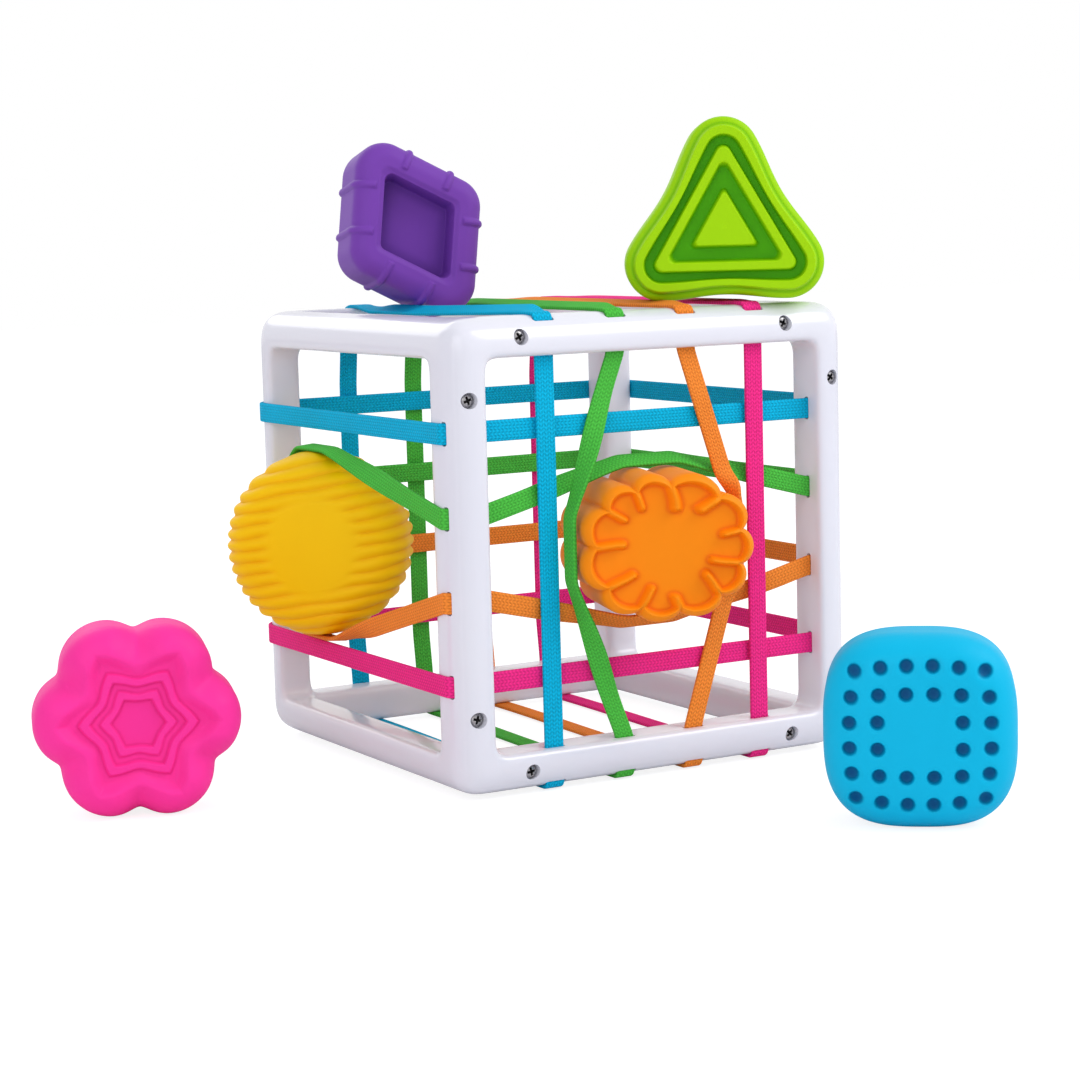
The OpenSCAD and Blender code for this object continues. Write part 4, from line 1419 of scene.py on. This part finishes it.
@dataclass
class Studio:
    """Pale floor, plain soft light and the camera."""

    eye: tuple[float, float, float] = (-443.03, -773.31, 181.44)
    yaw: float = 29.758
    pitch: float = -6.724
    roll: float = -1.572
    focal: float = 2578.0
    centre: tuple[float, float] = (544.1, 524.2)
    frame_size: float = 1080.0
    sensor: float = 36.0
    floor_reach: float = 4000.0

    def camera(self) -> None:
        """Place the camera from its heading, dip and roll."""
        y, p, r = (math.radians(v) for v in (self.yaw, self.pitch, self.roll))
        forward = Vector((math.sin(y) * math.cos(p), math.cos(y) * math.cos(p), math.sin(p)))
        right = Vector((math.cos(y), -math.sin(y), 0))
        up = right.cross(forward)
        right, up = right * math.cos(r) + up * math.sin(r), up * math.cos(r) - right * math.sin(r)
        data = bpy.data.cameras.new("camera")
        made = link("camera", data)
        turn = Matrix((right, up, -forward)).transposed().to_4x4()
        made.matrix_world = Matrix.Translation(Vector(self.eye) * MM) @ turn
        data.sensor_width = self.sensor
        data.lens = self.focal / self.frame_size * self.sensor
        data.shift_x = (self.frame_size / 2 - self.centre[0]) / self.frame_size
        data.shift_y = (self.centre[1] - self.frame_size / 2) / self.frame_size
        data.clip_start, data.clip_end = 0.01, 30.0
        bpy.context.scene.camera = made

    def floor(self) -> None:
        """White floor that keeps the shadows: part of what the camera sees on it is its own light."""
        n = material_nodes("studio_floor")
        diffuse = n.node("ShaderNodeBsdfDiffuse", inputs={"Color": (0.86, 0.86, 0.87, 1)})
        glow = n.node("ShaderNodeEmission", inputs={"Color": (1, 1, 1, 1), "Strength": 1.35})
        seen = n.value("ShaderNodeLightPath", output="Is Camera Ray")
        mix = {0: seen * 0.62, 1: diffuse.outputs[0], 2: glow.outputs[0]}
        material = n.finish("ShaderNodeMixShader", mix)
        far = self.floor_reach
        points = np.array([[-far, -far, -0.05], [far, -far, -0.05], [far, far, -0.05], [-far, far, -0.05]])
        put_mesh("floor", points, [[0, 1, 2, 3]], material)

    def lamp(self, name: str, at: tuple[float, float, float], size: float, power: float) -> None:
        """A square soft lamp aimed at the middle of the cube.

        Args:
            name: its name.
            at: place in metres.
            size: side in metres.
            power: watts.
        """
        data = bpy.data.lights.new(name, "AREA")
        data.shape, data.size, data.energy = "SQUARE", size, power
        made = link(name, data)
        made.location = at
        made.rotation_euler = (Vector((0, 0, 0.09)) - Vector(at)).to_track_quat("-Z", "Y").to_euler()

    def world(self) -> None:
        """Even pale light, seen as white by the camera and in reflections."""
        world = bpy.data.worlds.new("studio")
        bpy.context.scene.world = world
        n = Nodes(world)
        soft = n.node("ShaderNodeBackground", inputs={"Color": (0.94, 0.95, 1.0, 1), "Strength": 0.72})
        white = n.node("ShaderNodeBackground", inputs={"Color": (1, 1, 1, 1), "Strength": 1.0})
        path = n.node("ShaderNodeLightPath").outputs
        seen = Value(n, path["Is Camera Ray"]).most(path["Is Glossy Ray"]).most(path["Is Transmission Ray"])
        n.finish("ShaderNodeMixShader", {0: seen, 1: soft.outputs[0], 2: white.outputs[0]}, "World")

    def build(self) -> None:
        """Set up the view, the floor and the light."""
        scene = bpy.context.scene
        scene.view_settings.view_transform = "Standard"
        self.camera()
        self.floor()
        self.world()
        self.lamp("key", (0.85, -0.85, 1.1), 0.9, 10.9)
        self.lamp("fill", (-1.1, -0.9, 0.7), 1.0, 4.3)
        self.lamp("rear", (-0.2, 1.1, 0.9), 0.8, 3.4)


# ---------- the whole toy ----------


@dataclass
class ShapeSorter:
    """The cube with its bands and screws, and the six shapes."""

    cage: CageFrame = field(default_factory=CageFrame)

    def bands(self) -> list[ElasticBand]:
        """The eight bands, with the bows that the held shapes give them."""
        inner, outer = self.cage.pitch / 2, self.cage.pitch * 1.5
        over_oval, under_oval = Bow(-10.0, 11.0, 13.4, -62.0), Bow(-10.0, 11.0, -12.5, 52.0)
        left_of_oval, right_of_oval = Bow(-10.0, 11.0, -20.1, 90.0), Bow(-10.0, 11.0, 17.0, 90.0, 0.78)
        over_disc, under_disc = Bow(13.0, 34.0, 16.6, -85.0, 0.22), Bow(13.0, 36.0, -21.6, 85.0, 0.5)
        left_of_rhombus, right_of_rhombus = Bow(5.5, 45.5, -2.9), Bow(5.5, 45.5, 2.9)
        straight = Bow()
        level = [
            ("blue", outer, straight, straight), ("green", inner, over_oval, over_disc),
            ("orange", -inner, under_oval, under_disc), ("pink", -outer, straight, straight),
        ]
        over = [
            ("blue", -outer, straight, left_of_rhombus, 21.0, 1.6),
            ("green", -inner, left_of_oval, right_of_rhombus, 14.0, 0.0),
            ("orange", inner, right_of_oval, straight, 10.0, 0.0),
            ("pink", outer, straight, straight, 5.0, 0.0),
        ]
        bands = [
            ElasticBand(f"band_{tone}_level", f"band_{tone}_flat", Lacing.FLAT, *rest)
            for tone, *rest in level
        ]
        bands += [
            ElasticBand(f"band_{tone}_over", f"band_{tone}_upright", Lacing.UPRIGHT, *rest)
            for tone, *rest in over
        ]
        return bands

    def shapes(self) -> list[SoftShape]:
        """The six shapes at their places, each with its turn, thickness, edge radius and finish."""
        # each finish's second colour is its painted shade in grooves, dimples and creases
        yellow = SatinSilicone("yellow_silicone", linear(255, 203, 0), linear(236, 160, 0))
        amber = SatinSilicone("amber_silicone", linear(255, 142, 10), linear(240, 108, 0))
        rose = SatinSilicone("rose_silicone", linear(255, 54, 158), linear(214, 18, 112))
        aqua = SatinSilicone("aqua_silicone", linear(0, 184, 226), linear(0, 72, 126))
        purple = SatinSilicone("purple_silicone", linear(118, 65, 169), linear(70, 30, 120))
        lime = SatinSilicone("lime_silicone", linear(162, 217, 0), linear(76, 166, 0))
        return [
            RidgedDisc("ridged_disc", "shape_disc", "disc", (-75.0, 24.3, 74.3), 36.0, 35.0, 10.5, yellow),
            PuffyOval("puffy_oval", "shape_oval", "oval", (-1.5, -73.0, 77.25), 17.0, 38.0, 5.0, amber),
            Flower(
                "lobed_flower", "shape_flower", "flower", (-159.6, -16.2, 30.2), 18.0, 31.0, 9.0, rose,
                tilt=-1.0,
            ),
            DimpledSquare(
                "dimpled_square", "shape_square", "square", (27.0, -173.1, 29.1), 38.0, 34.0, 9.0, aqua
            ),
            RibbedRhombus(
                "ribbed_rhombus", "shape_rhombus", "rhombus", (-35.8, 27.99, 178.9), 15.0, 34.0, 6.0, purple,
                tilt=27.4, lean=6.0,
            ),
            SteppedTriangle(
                "stepped_triangle", "shape_triangle", "triangle", (41.0, -52.0, 177.7), 31.0, 34.0, 2.6, lime
            ),
        ]

    def screws(self) -> list[CrossScrew]:
        """Two screws on each bar of the bezel, each left at an angle of its own."""
        edge, reach = self.cage.width / 2 - self.cage.screw_inset, self.cage.screw_reach
        return [
            CrossScrew("screw_top_left", -reach, edge, 0.5),
            CrossScrew("screw_top_right", reach, edge, 1.1),
            CrossScrew("screw_bottom_left", -reach, -edge, 0.2),
            CrossScrew("screw_bottom_right", reach, -edge, 0.8),
            CrossScrew("screw_left_low", -edge, -reach, 1.3),
            CrossScrew("screw_left_high", -edge, reach, 0.35),
            CrossScrew("screw_right_low", edge, -reach, 0.6),
            CrossScrew("screw_right_high", edge, reach, 0.9),
        ]

    def build(self) -> None:
        """Build every piece and log it."""
        centre = float(self.cage.middle[2])
        steel = PlatedSteel().material()
        tones = dict(blue=(0, 166, 205), green=(72, 176, 62), orange=(245, 130, 48), pink=(236, 42, 128))
        cloth = {
            name: WovenElastic(name + "_elastic", linear(*tone)).material() for name, tone in tones.items()
        }
        pieces = self.cage.build()
        pieces += [screw.build(steel, centre) for screw in self.screws()]
        pieces += [band.build(cloth[band.node.split("_")[1]], centre) for band in self.bands()]
        pieces += [shape.build() for shape in self.shapes()]
        for piece in pieces:
            log.info("%s: %d faces", piece.name, len(piece.data.polygons))


def main() -> None:
    """Build the studio and the toy."""
    logging.basicConfig(level=logging.INFO, format="%(message)s")
    Studio().build()
    ShapeSorter().build()
    bpy.context.view_layer.update()


if __name__ == "__main__":
    main()
